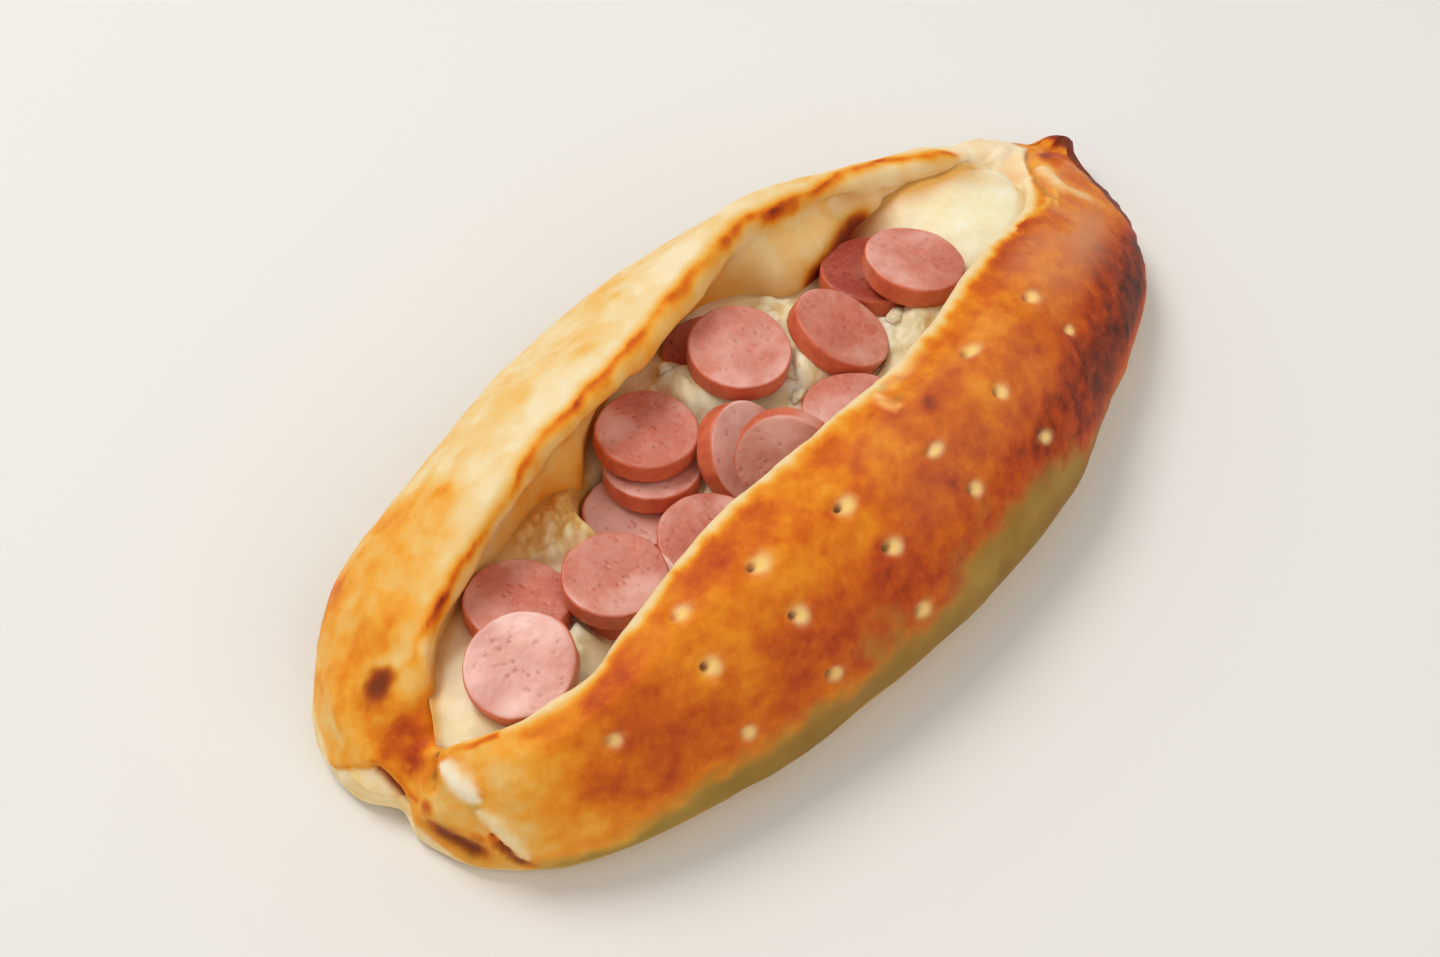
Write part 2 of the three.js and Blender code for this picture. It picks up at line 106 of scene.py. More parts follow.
def controls(th):
    """control polygon of each cross-section: base, right side, right flap, lip, undercut, floor,
    left inner wall, left ridge, left side"""
    th = np.asarray(th, float)
    x, R, L, hR, hL, lR, lL, wL, cR, fl = params(th)
    mid = (lR + lL) / 2
    kR = np.clip((mid - R) / 62.0, 0.02, 1.05); kL = np.clip((L - mid) / 55.0, 0.02, 1.05)
    vR = hR / 42.0; vL = hL / 42.0
    gap = lL - lR
    o = np.clip(gap / 18.0, 0.03, 1)
    zR = hR - 1.8 * o; zL = hL - 1.0 * o
    c = []

    def add(y, z):
        c.append(np.stack([y + 0 * x, z + 0 * x], 1))
    add(mid, 0 * x)
    add(mid + (R - mid) * 0.5, 0 * x)
    add(R + 12 * kR, 0 * x)
    add(R + 6.0 * kR, 0 * x)
    add(R - 0.6 * kR, 5.0 * vR)
    add(R - 1.9 * kR, 14 * vR)
    add(R + 1.2 * kR, 25 * vR)
    add(R + 9 * kR, 35.0 * vR)
    yA = R + 19 * kR
    yB = lR - 7 * np.clip(gap / 30, 0.15, 1) * np.clip(kR * 2, 0, 1)
    add(yA + (yB - yA) * 0.12, hR + 1.0 * vR)
    add(yA + (yB - yA) * 0.60, hR + 1.7 * vR)
    add(yB, hR + 0.9 * vR * o)
    add(lR - 2.0 * o, zR + 1.9 * o)
    add(lR + 2.2 * o, zR + 0.6 * o)
    add(lR + 1.2 * o, zR - 4.0 * o)
    add(lR - 4.5 * o, zR - 6.4 * o)
    zc = fl + (np.minimum(zR, zL) - fl) * 0.50
    add(cR, np.minimum(zc, zR - 7.5 * o))
    add(cR - 1.0 * o, fl + 2.5 * o)
    g = gauss(x, 39, 9)
    cL = wL + 2.0 * o + 7.0 * g
    add(cR + (cL - cR) * 0.25, fl)
    add(cR + (cL - cR) * 0.5, fl - 0.3 * o)
    add(cR + (cL - cR) * 0.75, fl)
    add(cL, fl + 2.5 * o)
    add(wL + 0.5 * o + 1.5 * g, np.minimum(zc, zL - 8 * o) + 2.5 * g)
    add(wL + (lL - wL) * 0.45 + 0.6 * o, zL - (zL - fl) * 0.26)
    add(lL - 0.8 * o, zL - 4.6 * o)
    add(lL - 2.2 * o, zL - 0.6 * o)
    add(lL + 1.2 * o, zL + 2.2 * o)
    add(lL + 6.0 * o * np.clip(kL * 1.6, 0, 1), zL + 1.2 * o)
    yD = L - 15 * kL
    add(lL + (yD - lL) * 0.60, hL + 0.3 * vL)
    add(yD + 1.0 * kL, 36.5 * vL)
    add(L - 5.5 * kL, 29.5 * vL)
    add(L - 0.3 * kL, 19.5 * vL)
    add(L + 1.6 * kL, 10 * vL)
    add(L + 0.3 * kL, 3.2 * vL)
    add(L - 6.5 * kL, 0 * x)
    add(L - 12 * kL, 0 * x)
    add(mid + (L - mid) * 0.5, 0 * x)
    C = np.stack(c, 1)
    k0, k1 = 9, 28
    t = np.linspace(0, 1, k1 - k0 + 1)[None, :]
    ya, yb = C[:, k0, 0:1], C[:, k1, 0:1]
    yc = ya + (yb - ya) * t
    cr = (np.minimum(2.2, 0.12 * hR) * np.where(x < 0, 0.15, 1 - smooth(93, 98, x)))[:, None]
    zq = (hR + 1.2 * vR)[:, None] * (1 - t) + (hL + 0.3 * vL)[:, None] * t - cr * gauss(yc, mid[:, None], 0.16 * (yb - ya) + 0.3)
    s = smooth(0.05, 0.42, gap / 18.0)[:, None]
    C[:, k0:k1 + 1, 0] = yc + (C[:, k0:k1 + 1, 0] - yc) * s
    C[:, k0:k1 + 1, 1] = zq + (C[:, k0:k1 + 1, 1] - zq) * s
    q = np.clip(np.cos(np.radians(th)) / np.cos(np.radians(66.0)), 0, 1)
    s = np.sqrt(np.clip(1 - (1 - q) ** 2, 0, 1))[:, None]
    zt = np.where(th < 0, TIP_Z[0], TIP_Z[1])[:, None]
    C[:, :, 1] = zt + (C[:, :, 1] - zt) * s
    w = np.clip(np.cos(np.radians(th)) / np.cos(np.radians(80.0)), 0, 1)
    w = np.sqrt(np.clip(1 - (1 - w) ** 2, 0, 1))[:, None]
    yt = np.where(th < 0, OUTLINE[0, 1], OUTLINE[-1, 1])[:, None]
    C[:, :, 0] = yt + (C[:, :, 0] - yt) * w
    return C


def pinch(P):
    """the pinched notch of the near end"""
    P[..., 0] += 4.6 * gauss(P[..., 1], -6.5, 4.2) / (1 + np.exp((P[..., 0] + 112) / 3.0))
    return P


def surf(th, v):
    """points of the loaf's surface at scattered (theta, v)"""
    th = np.atleast_1d(np.asarray(th, float)); v = np.atleast_1d(np.asarray(v, float)) % NC
    tu, inv = np.unique(th, return_inverse=True)
    C = controls(tu)
    i = np.floor(v).astype(int); t = v - i
    B = [(1-t)**3/6, (3*t**3-6*t**2+4)/6, (-3*t**3+3*t**2+3*t+1)/6, t**3/6]
    yz = 0
    for k in range(4):
        yz = yz + C[inv, (i + k - 1) % NC, :] * B[k][:, None]
    P = np.zeros((len(th), 3)); P[:, 0] = XA * np.sin(np.radians(th)); P[:, 1:] = yz
    return pinch(P)


def theta(x):
    return np.degrees(np.arcsin(np.clip(np.asarray(x, float) / XA, -1, 1)))


# -------------------------------------------------------------- seeded noise on a lattice
def hashed(i, j, k, seed):
    n = (i * 374761393 + j * 668265263 + k * 2147483647 + seed * 144665) & 0xFFFFFFFF
    n = ((n ^ (n >> 13)) * 1274126177) & 0xFFFFFFFF
    n = ((n ^ (n >> 16)) * 2246822519) & 0xFFFFFFFF
    return ((n ^ (n >> 15)) & 0xFFFFFF) / 16777215.0 * 2 - 1


def noise(P, scale, seed=0):
    """smooth value noise, about -1..1; scale is the size of a bump (one number, or one per axis)"""
    q = np.asarray(P, float) / np.asarray(scale, float) + 1000.0
    i = np.floor(q).astype(np.int64); f = q - i
    f = f * f * f * (f * (f * 6 - 15) + 10)
    out = 0
    for a in (0, 1):
        wa = f[:, 0] if a else 1 - f[:, 0]
        for b in (0, 1):
            wb = f[:, 1] if b else 1 - f[:, 1]
            for c in (0, 1):
                wc = f[:, 2] if c else 1 - f[:, 2]
                out = out + wa * wb * wc * hashed(i[:, 0] + a, i[:, 1] + b, i[:, 2] + c, seed)
    return out


def fbm(P, scale, seed=0, octaves=3, gain=0.5):
    s = np.asarray(scale, float); out = 0; a = 1.0; tot = 0
    R = np.array([[0.36, 0.48, -0.8], [-0.8, 0.6, 0.0], [0.48, 0.64, 0.6]])
    Q = np.asarray(P, float)
    for o in range(octaves):
        out = out + a * noise(Q, s, seed + 17 * o); tot += a
        a *= gain; s = s * 0.5
        if s.ndim == 0:
            Q = Q @ R.T
    return out / tot * 1.6


def polyline_distance(P, pts):
    """distance to a polyline, and how far along it (0..1)"""
    pts = np.asarray(pts, float)
    best = np.full(len(P), 1e9); along = np.zeros(len(P))
    seg = np.linalg.norm(np.diff(pts, axis=0), axis=1); cum = np.concatenate([[0], np.cumsum(seg)])
    for a, b, l, c0 in zip(pts[:-1], pts[1:], seg, cum[:-1]):
        d = (b - a) / max(l, 1e-9)
        t = np.clip((P - a) @ d, 0, l)
        r = np.linalg.norm(P - a - t[:, None] * d, axis=1)
        m = r < best
        best[m] = r[m]; along[m] = (c0 + t[m]) / cum[-1]
    return best, along


# =====================================================================================
# Features of the crust, in millimetres in the loaf's own frame
# =====================================================================================
# docking holes: x, v on the cross-section, pit radius, pale ring radius, hole (0..1), stretch along x
DOCKS = [
    (-97.2, 7.50, 1.6, 2.6, 0.25, 1.0), (-74.5, 6.00, 1.6, 2.9, 0.20, 1.0), (-74.5, 7.50, 1.9, 3.4, 1.0, 1.0),
    (-52.9, 6.00, 1.7, 2.8, 0.9, 1.0), (-71.9, 9.75, 1.7, 3.0, 0.25, 1.1), (-53.6, 7.25, 2.0, 3.5, 1.0, 1.0),
    (-53.6, 8.60, 1.9, 3.5, 0.75, 1.2), (-27.6, 7.20, 2.0, 3.2, 1.0, 1.0), (-28.4, 5.95, 1.8, 3.2, 0.8, 1.0),
    (-30.0, 8.35, 2.1, 3.7, 1.0, 1.1), (-2.0, 6.90, 1.9, 3.0, 0.8, 1.0), (-5.2, 7.85, 1.5, 2.4, 0.15, 1.6),
    (22.9, 6.60, 1.5, 2.4, 0.3, 1.0), (19.7, 7.70, 1.8, 2.9, 0.7, 1.0), (22.9, 9.25, 1.8, 3.2, 0.5, 1.2),
    (48.4, 8.50, 1.8, 3.0, 0.6, 1.2), (51.4, 7.30, 1.4, 2.2, 0.2, 1.0)]
# the near end: edge of the upper layer, the groove under it, the seam, pleats and scorch marks
LEDGE = [(-127.5, 13.2, 3.2), (-127.5, 12.8, 3.9), (-127.7, 9.7, 7.0), (-127.7, 7.1, 9.7), (-127.2, 5.2, 10.8), (-126.7, 3.8, 11.6), (-126.0, 2.3, 12.4), (-125.0, 0.9, 13.3)]
FOLD = [(-124.5, 1.5, 14.5), (-123.8, -0.1, 14.5), (-123.0, -2.0, 13.7), (-122.6, -3.7, 12.5), (-122.6, -5.5, 11.0), (-122.9, -7.2, 10.2), (-123.8, -10.1, 11.0)]
# painted shade: the recess behind slice 14 on the inner wall
RECESS_SHADE = [(35.0, 19.5, 21.0), (43.6, 20.1, 22.0), (47.4, 21.0, 22.6), (52.1, 22.3, 21.6), (56.0, 22.4, 21.0)]
GROOVE = [(-124.9, 0.9, 13.1), (-124.6, -0.6, 12.3), (-124.2, -2.1, 11.3), (-123.9, -3.6, 10.0), (-123.8, -5.0, 8.9), (-124.0, -6.5, 7.7)]
SEAM = [(-113.8, -7.8, 18.6), (-116.0, -9.6, 20.6), (-117.3, -10.6, 21.8), (-118.8, -11.5, 21.0), (-119.9, -12.3, 20.2), (-120.9, -13.2, 19.5), (-122.5, -14.0, 17.7)]
SEAM_SPOTS = [(-117.3, -10.6, 21.8), (-120.4, -12.8, 19.9)]
PLEAT_1 = [(-118.9, -14.4, 22.6), (-119.1, -15.9, 23.1), (-119.4, -18.4, 23.2), (-119.5, -20.7, 22.9), (-119.5, -22.6, 22.3), (-119.5, -24.1, 21.4)]
PLEAT_2 = [(-119.8, -25.4, 19.2), (-119.0, -28.1, 18.0), (-118.3, -30.1, 16.4), (-117.8, -31.8, 14.2), (-117.2, -33.2, 11.6), (-116.8, -34.1, 9.1)]
CREASE_2 = [(-120.2, -27.3, 14.5), (-119.6, -29.0, 12.6), (-118.9, -30.6, 11.2), (-118.0, -32.3, 9.6)]
SCORCH_1 = [(-125.3, -16.1, 9.4), (-125.0, -18.0, 8.9), (-124.3, -20.1, 8.7), (-123.5, -22.1, 8.6), (-122.7, -24.0, 8.0), (-121.6, -26.3, 7.4)]
SCORCH_2 = [(-119.7, -29.0, 12.0), (-119.1, -30.3, 10.3), (-118.5, -31.6, 8.8), (-117.6, -33.1, 7.3), (-116.6, -34.5, 5.8)]
LIP_SHADE = [(-116.5, -14.0, 24.1), (-114.0, -17.9, 27.5), (-111.3, -19.8, 28.8), (-108.8, -22.2, 30.1)]
MOUTH_EDGE = [(-106.5, 2.0, 30.2), (-110.7, -2.4, 28.1), (-112.3, -6.5, 25.3), (-115.7, -10.1, 22.4)]
RED_DOT = (-124.6, -13.9, 13.4)
BURNT = (-115.2, 8.3, 24.8)
BROWN_PATCH = (-118.9, -2.6, 17.9)
# the far end: the pinched folds, the crease between them, the small folds by the lip
RIDGE_A = [(109.2, 12.1, 18.2), (106.3, 10.1, 19.5), (99.9, 5.4, 21.5), (92.4, -0.4, 25.7), (88.5, -4.3, 26.6), (84.6, -7.6, 28.0), (80.3, -10.2, 29.6)]
CREASE_A = [(110.7, 10.6, 17.8), (108.2, 9.2, 18.8), (102.0, 6.0, 21.4), (98.5, 2.3, 22.6), (93.1, -2.9, 26.0), (90.2, -7.2, 27.2), (88.8, -10.5, 27.9), (88.8, -13.5, 28.1), (90.3, -15.4, 27.5)]
CREASE_XV = [(110.7, 21.5), (108.2, 20.0), (102.0, 17.4), (98.5, 14.8), (93.1, 10.0), (90.2, 9.9), (88.8, 9.6), (90.3, 8.8)]
RIDGE_B = [(101.7, 1.6, 22.2), (98.2, -2.5, 24.0), (96.3, -6.5, 25.0), (94.3, -10.2, 25.9), (96.3, -12.5, 25.0), (98.2, -15.1, 23.9), (99.8, -16.9, 22.9)]
SMALL_FOLDS = [[(88.3, -9.4, 27.9), (84.7, -12.1, 29.1), (81.1, -12.8, 30.1), (78.6, -11.6, 30.4)], [(92.6, -8.9, 26.4), (88.0, -12.0, 28.2), (84.6, -14.6, 29.4)]]
SMALL_DIP = [(90.2, -7.2, 27.2), (87.1, -9.6, 28.2), (84.0, -11.4, 29.1)]
TUCK = [(-1.1, -25.9, 42.4), (-1.5, -27.8, 42.9), (-2.1, -29.8, 43.3), (-2.1, -32.0, 43.6), (-1.5, -34.2, 43.9)]
TUCK_DIP = (1.9, -26.4, 42.6)
TUCK_DIPS = [(1.9, -26.4, 42.6), (0.5, -31.3, 43.5)]
TUCK_YELLOW = (3.4, -28.2, 42.9)
TUCK_BROWN = (-4.3, -34.5, 43.9)
BRIGHT_ORANGE = [(109.8, 8.4, 18.3), (105.3, 5.1, 20.4), (101.2, 2.8, 22.2)]
FAR_SPOT = (108.9, 4.7, 18.9)
FAR_LUMP = (98.6, 12.6, 21.2)
# a small dip under the far lump, with painted shade
FAR_SHADED_DIP = (95.5, 5.2, 20.0)
# painted shadow: a dark line under the end of the left flap
UNDER_FLAP_SHADOW = [(84.8, 15.5, 23.9), (87.0, 14.9, 23.1), (89.4, 14.2, 22.3)]
JAG = [(92, 5.2), (100, 5.5), (104, 5.75), (108, 6.1), (112, 6.75), (116, 7.65), (120, 8.2), (124, 8.1)]     # x, v


def refine_here(P, v):
    """1 where the mesh needs a finer grid"""
    m = np.zeros(len(P), bool)
    for (x, dv, r, ring, hole, st) in DOCKS:
        c = surf(theta([x]), [dv])[0]
        m |= np.linalg.norm(P - c, axis=1) < ring + 0.6
    top = (v > 3.5) & (v < 32)
    near = polyline_distance(P, LEDGE + FOLD[1:])[0] < 3.4
    near |= polyline_distance(P, SEAM)[0] < 3.0
    far = polyline_distance(np.stack([P[:, 0], 1.5 * v], 1), [(q, 1.5 * w) for q, w in CREASE_XV])[0] < 3.4
    return m | (near & top) | far


def steps_between(a, b, n):
    return list(np.linspace(a, b, n, endpoint=False))


def loaf_mesh():
    """grid in (theta, v), finer at the lips, the docking holes and the folds; triangles"""
    xs = steps_between(-127.2, -106, 32) + steps_between(-106, 84, 136) + steps_between(84, 112, 34) + steps_between(112, 127.4, 18) + [127.4]
    th = np.concatenate([[-90, -89.7, -89.2], np.arange(-88.5, -80.9, 0.6), theta(xs), np.arange(82.0, 88.6, 0.9), [89.2, 89.7, 90]])
    th = np.unique(np.round(th, 5))
    v = []
    for a, b, n in ((0, 3.0, 5), (3.0, 4.2, 4), (4.2, 8, 56), (8, 10.4, 42), (10.4, 13.4, 30), (13.4, 15.2, 6), (15.2, 20.2, 9),
                    (20.2, 22.6, 22), (22.6, 26.6, 40), (26.6, 28.5, 26), (28.5, 32.6, 44), (32.6, 36, 6)):
        v += steps_between(a, b, n)
    v += [36.0]
    bm = bmesh.new()
    grid = [[bm.verts.new((t, w, 0)) for w in v] for t in th]
    for i in range(len(th) - 1):
        for j in range(len(v) - 1):
            bm.faces.new((grid[i][j], grid[i][j + 1], grid[i + 1][j + 1], grid[i + 1][j]))
    bm.faces.ensure_lookup_table()
    cen = np.array([f.calc_center_median()[:2] for f in bm.faces])
    hit = refine_here(surf(cen[:, 0], cen[:, 1]), cen[:, 1])
    edges = set()
    for k in np.nonzero(hit)[0]:
        edges.update(bm.faces[k].edges)
    bmesh.ops.subdivide_edges(bm, edges=list(edges), cuts=1, use_grid_fill=True)
    bmesh.ops.triangulate(bm, faces=bm.faces[:], quad_method='FIXED')
    bm.verts.index_update()
    co = np.array([w.co[:2] for w in bm.verts])
    tri = np.array([[w.index for w in f.verts] for f in bm.faces])
    bm.free()
    # weld the seam under the loaf and the two tips
    key = co.copy(); key[np.abs(key[:, 1] - 36) < 1e-5, 1] = 0.0
    key[np.abs(np.abs(key[:, 0]) - 90) < 1e-5, 1] = 0.0
    key = np.round(key, 4)
    u, first, inv = np.unique(key, axis=0, return_index=True, return_inverse=True)
    inv = inv.reshape(-1)
    tri = inv[tri]
    tri = tri[(tri[:, 0] != tri[:, 1]) & (tri[:, 1] != tri[:, 2]) & (tri[:, 0] != tri[:, 2])]
    return u[:, 0], u[:, 1], tri


def vertex_normals(P, tri):
    n = np.cross(P[tri[:, 1]] - P[tri[:, 0]], P[tri[:, 2]] - P[tri[:, 0]])
    out = np.zeros_like(P)
    for k in range(3):
        np.add.at(out, tri[:, k], n)
    return out / (np.linalg.norm(out, axis=1, keepdims=True) + 1e-12)


def smooth_field(f, tri, rounds):
    n = len(f); e = np.concatenate([tri[:, [0, 1]], tri[:, [1, 2]], tri[:, [2, 0]]])
    cnt = np.bincount(e[:, 0], minlength=n) + np.bincount(e[:, 1], minlength=n)
    for _ in range(rounds):
        g = np.zeros_like(f)
        if f.ndim == 1:
            g = np.bincount(e[:, 0], f[e[:, 1]], n) + np.bincount(e[:, 1], f[e[:, 0]], n)
            f = 0.5 * f + 0.5 * g / np.maximum(cnt, 1)
        else:
            for c in range(f.shape[1]):
                g[:, c] = np.bincount(e[:, 0], f[e[:, 1], c], n) + np.bincount(e[:, 1], f[e[:, 0], c], n)
            f = 0.5 * f + 0.5 * g / np.maximum(cnt, 1)[:, None]
    return f


def relax(P, tri, w, rounds):
    """draw the points towards their neighbours, only where w > 0"""
    n = len(P); e = np.concatenate([tri[:, [0, 1]], tri[:, [1, 2]], tri[:, [2, 0]]])
    e = e[(w[e[:, 0]] > 0) | (w[e[:, 1]] > 0)]
    a = np.concatenate([e[:, 0], e[:, 1]]); b = np.concatenate([e[:, 1], e[:, 0]])
    keep = w[a] > 0; a, b = a[keep], b[keep]
    idx, ai = np.unique(a, return_inverse=True); ai = ai.reshape(-1)
    cnt = np.bincount(ai, minlength=len(idx))[:, None]
    P = P.copy()
    for _ in range(rounds):
        avg = np.stack([np.bincount(ai, P[b, c], len(idx)) for c in range(3)], 1) / cnt
        P[idx] += 0.6 * w[idx][:, None] * (avg - P[idx])
    return P


SHIFT = None   # loaf frame to row frame, mm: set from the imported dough's box


def to_row(P):
    return (np.asarray(P, float) + SHIFT) / 1000.0


def make_object(name, P, tri, attributes=None, material=None):
    me = bpy.data.meshes.new(name)
    Q = to_row(P).astype(np.float32)
    me.vertices.add(len(Q)); me.vertices.foreach_set("co", Q.ravel())
    n = len(tri)
    me.loops.add(n * 3); me.loops.foreach_set("vertex_index", tri.astype(np.int32).ravel())
    me.polygons.add(n)
    me.polygons.foreach_set("loop_start", np.arange(0, n * 3, 3, dtype=np.int32))
    me.polygons.foreach_set("loop_total", np.full(n, 3, dtype=np.int32))
    me.polygons.foreach_set("use_smooth", np.ones(n, dtype=bool))
    me.update(calc_edges=True)
    me.validate()
    for k, f in (attributes or {}).items():
        a = me.attributes.new(k, 'FLOAT', 'POINT')
        a.data.foreach_set("value", np.asarray(f, np.float32))
    ob = bpy.data.objects.new(name, me)
    bpy.context.scene.collection.objects.link(ob)
    if material:
        me.materials.append(material)
    return ob


# ------------------------------------------------------------------------- dough
th, vv, tri = loaf_mesh()
P0 = surf(th, vv)
N0 = vertex_normals(P0, tri)
if (N0[(vv > 7) & (vv < 9)][:, 2].mean()) < 0:
    tri = tri[:, ::-1]; N0 = -N0
lo0 = P0.min(0); hi0 = P0.max(0)
dlo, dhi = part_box("dough")
SHIFT = np.array([(dlo[0] + dhi[0]) * 500 - (lo0[0] + hi0[0]) / 2, (dlo[1] + dhi[1]) * 500 - (lo0[1] + hi0[1]) / 2, dlo[2] * 1000 - lo0[2]])
print("shift", SHIFT, "tris", len(tri))
trim = pchip([-112, -100, -86, -60, -50, -40, -20, -4, 8, 20, 40, 60, 76, 92], [0, 0.5, 1.7, 1.7, 1.1, 0.5, 0.8, 1.0, 1.1, 0.6, 1.0, 1.7, 1.2, 0], P0[:, 0])
P0[:, 1] -= trim * np.exp(-((vv - 12.0) / 0.85) ** 2)
# the two corners of the mouth are drawn together: no steps there
wr_ = smooth(-124.5, -120.5, P0[:, 0]) * (1 - smooth(-111, -106.5, P0[:, 0])) * smooth(12.0, 13.6, vv) * (1 - smooth(27.0, 29.0, vv))
wr_ += 0 * smooth(84.5, 88.5, P0[:, 0]) * (1 - smooth(98, 103, P0[:, 0])) * smooth(11.6, 13.0, vv) * (1 - smooth(26.4, 28.4, vv))
P0 = relax(P0, tri, wr_, 200)
wr_ = smooth(83, 87.5, P0[:, 0]) * (1 - smooth(99, 105, P0[:, 0])) * smooth(12.4, 14.2, vv) * (1 - smooth(25.6, 28.4, vv))
P0 = relax(P0, tri, wr_, 220)
wr_ = np.exp(-(np.linalg.norm((P0 - np.array([97.8, 3.8, 22.0])) / np.array([7.0, 5.5, 6.5]), axis=1)) ** 4) * (vv > 8) * (vv < 26)
P0 = relax(P0, tri, wr_, 260)
N0 = vertex_normals(P0, tri)
X, Y, Z = P0.T
right = (vv > 3) & (vv < 12.2)
inside = (vv > 12.6) & (vv < 22.2)
left = (vv > 22.2) & (vv < 33)
base = smooth(3.2, 4.4, vv) * (1 - smooth(31.6, 33.0, vv))      # 0 under the loaf
openish = np.clip(pchip(MOUTH[:, 0], MOUTH[:, 2] - MOUTH[:, 1], X) / 18.0, 0, 1)

disp = np.zeros(len(P0))
# soft lumps of a hand-shaped loaf
disp += base * (0.95 * fbm(P0, 34, 3, 2) + 0.32 * fbm(P0, 11, 9, 2) + 0.07 * fbm(P0, 3.2, 21, 2))
# lengthwise strain of the rolled flaps
strain = noise(P0, (46, 7, 7), 31)
disp += 0.35 * strain * smooth(24.5, 26.5, vv) * (1 - smooth(30, 32, vv)) * base
# the lip: a thin rim with small tucks
lipw = gauss(vv, 11.4, 0.42) * openish
disp += lipw * (0.25 + 0.30 * noise(P0, 4.5, 41) + 0.14 * noise(P0, 1.9, 42))
v_edge = pchip([-129, -98, -64, -22, 12, 42, 62, 92, 129], [25.4, 24.6, 24.7, 25.2, 24.8, 24.5, 25.2, 24.8, 24.8], X)
ridgew = gauss(vv, v_edge - 0.1, 0.34) * openish
disp += ridgew * (0.25 + 0.40 * noise(P0, (9, 6, 6), 51) + 0.14 * noise(P0, 2.2, 52))
# torn, crumbly stretch of the lip
torn = gauss(X, 6, 5.0) * gauss(vv, 11.05, 0.35)
torn2 = gauss(X, 36, 7) * gauss(vv, 11.25, 0.35)
disp += torn * (0.5 * noise(P0, 2.6, 61) + 0.35 * noise(P0, 1.4, 62)) + torn2 * 0.5 * noise(P0, 2.0, 63)
# inner wall: soft bulges between tucks
wallw = smooth(20.6, 21.6, vv) * (1 - smooth(23.4, 24.0, vv)) * openish
disp += wallw * (0.8 * noise(P0, (13, 30, 16), 71) + 0.25 * noise(P0, 5, 72))
tuck = np.zeros(len(P0))
for tx, tw, td in ((-66, 1.6, 0.9), (-51, 1.8, 1.4), (-44, 1.2, 0.7), (-28, 1.5, 0.8), (14, 1.8, 1.0), (52, 2.0, 1.4), (63, 1.3, 0.8), (70, 1.1, 0.6)):
    tuck += td * gauss(X + 0.25 * (Z - 30), tx, tw)
disp -= wallw * tuck

bake_spots = []
# docking holes
pale_ring_and_painted_highlight = np.zeros(len(P0)); hole = np.zeros(len(P0))
for (dx, dv, r, ring, hole_k, st) in DOCKS:
    c = surf(theta([dx]), [dv])[0]
    near = np.nonzero(np.linalg.norm(P0 - c, axis=1) < ring * 3.2)[0]
    if not len(near):
        continue
    D = P0[near] - c
    n = N0[near[np.argmin(np.linalg.norm(D, axis=1))]]
    ax = np.array([1.0, 0, 0]); ax -= n * (ax @ n); ax /= np.linalg.norm(ax); ay = np.cross(n, ax)
    u = (D @ ax) / st; w = D @ ay
    wob = 1 + 0.18 * noise(P0[near], 2.6, 81)
    d = np.hypot(u, w) * wob
    disp[near] += -0.75 * np.exp(-(d / (0.62 * r)) ** 2) * (0.6 + 0.4 * hole_k) - 0.50 * np.exp(-(d / (1.6 * r)) ** 2)
    hh = np.hypot(u + 0.3, w - 0.2) * wob
    disp[near] += -1.6 * hole_k * np.exp(-(hh / 0.78) ** 4)
    disp[near] += 0.22 * np.exp(-((d - ring * 1.05) / 0.9) ** 2)
    # pale dough round each hole, set off to the lit side: partly painted highlight
    pale_ring_and_painted_highlight[near] = np.maximum(pale_ring_and_painted_highlight[near], np.exp(-(np.hypot(u - 0.30 * r - 0.42, w + 0.10 * r + 0.42) * wob / (0.46 * ring)) ** 2.2))
    hole[near] = np.maximum(hole[near], hole_k * np.exp(-(hh / 0.95) ** 4))

# how far the mouth is closed here, and the part of the section that closes
gap = pchip(MOUTH[:, 0], MOUTH[:, 2] - MOUTH[:, 1], X)
closed = (1 - smooth(0.12, 0.75, gap / 18.0)) * smooth(8.3, 9.3, vv) * (1 - smooth(27.6, 28.6, vv))
corner = (gauss(X, -115, 3.6) + gauss(X, 93.5, 3.6)) * smooth(10.4, 11.4, vv) * (1 - smooth(25.4, 26.4, vv))
disp *= 1 - 0.85 * np.clip(corner, 0, 1)
disp *= 1 - 0.5 * closed
# near end
dl, al = polyline_distance(P0, LEDGE)
dg, ag = polyline_distance(P0, GROOVE)
ds, as_ = polyline_distance(P0, SEAM)
p1, a1 = polyline_distance(P0, PLEAT_1)
p2, a2 = polyline_distance(P0, PLEAT_2)
s1, b1 = polyline_distance(P0, SCORCH_1)
s2, b2 = polyline_distance(P0, SCORCH_2)
ls, lsa = polyline_distance(P0, LIP_SHADE)
me_, mea = polyline_distance(P0, MOUTH_EDGE)
taper = lambda a: smooth(0, 0.12, a) * (1 - smooth(0.88, 1, a))
# signed height over the edge of the upper layer: above it the golden flap, below it the cream layer
zl = np.interp(-Y, [-13.2, -12.8, -9.7, -7.1, -5.2, -3.8, -2.3, -0.9, 0.6, 2.1, 3.6, 5.0, 6.5, 12.0], [2.9, 3.7, 6.9, 9.6, 10.7, 11.5, 12.3, 13.1, 12.3, 11.3, 10.0, 8.9, 8.0, 9.0])
on_left = smooth(-112, -118, X) * smooth(-9.5, -6.5, Y) * (1 - smooth(12, 15, Y))
up_l = (Z - zl)
disp += on_left * (0.75 * np.exp(-((up_l - 1.5) / 1.8) ** 2) - 0.60 * np.exp(-((up_l + 0.5) / 1.0) ** 2) + 0.45 * np.exp(-((up_l + 3.8) / 2.6) ** 2))
disp -= 1.2 * np.exp(-(dg / 1.0) ** 2) * (0.3 + 0.7 * taper(ag))
c2, c2a = polyline_distance(P0, CREASE_2)
disp -= 0.9 * np.exp(-(ds / 1.0) ** 2) + 0.7 * np.exp(-(c2 / 0.9) ** 2) * taper(c2a)
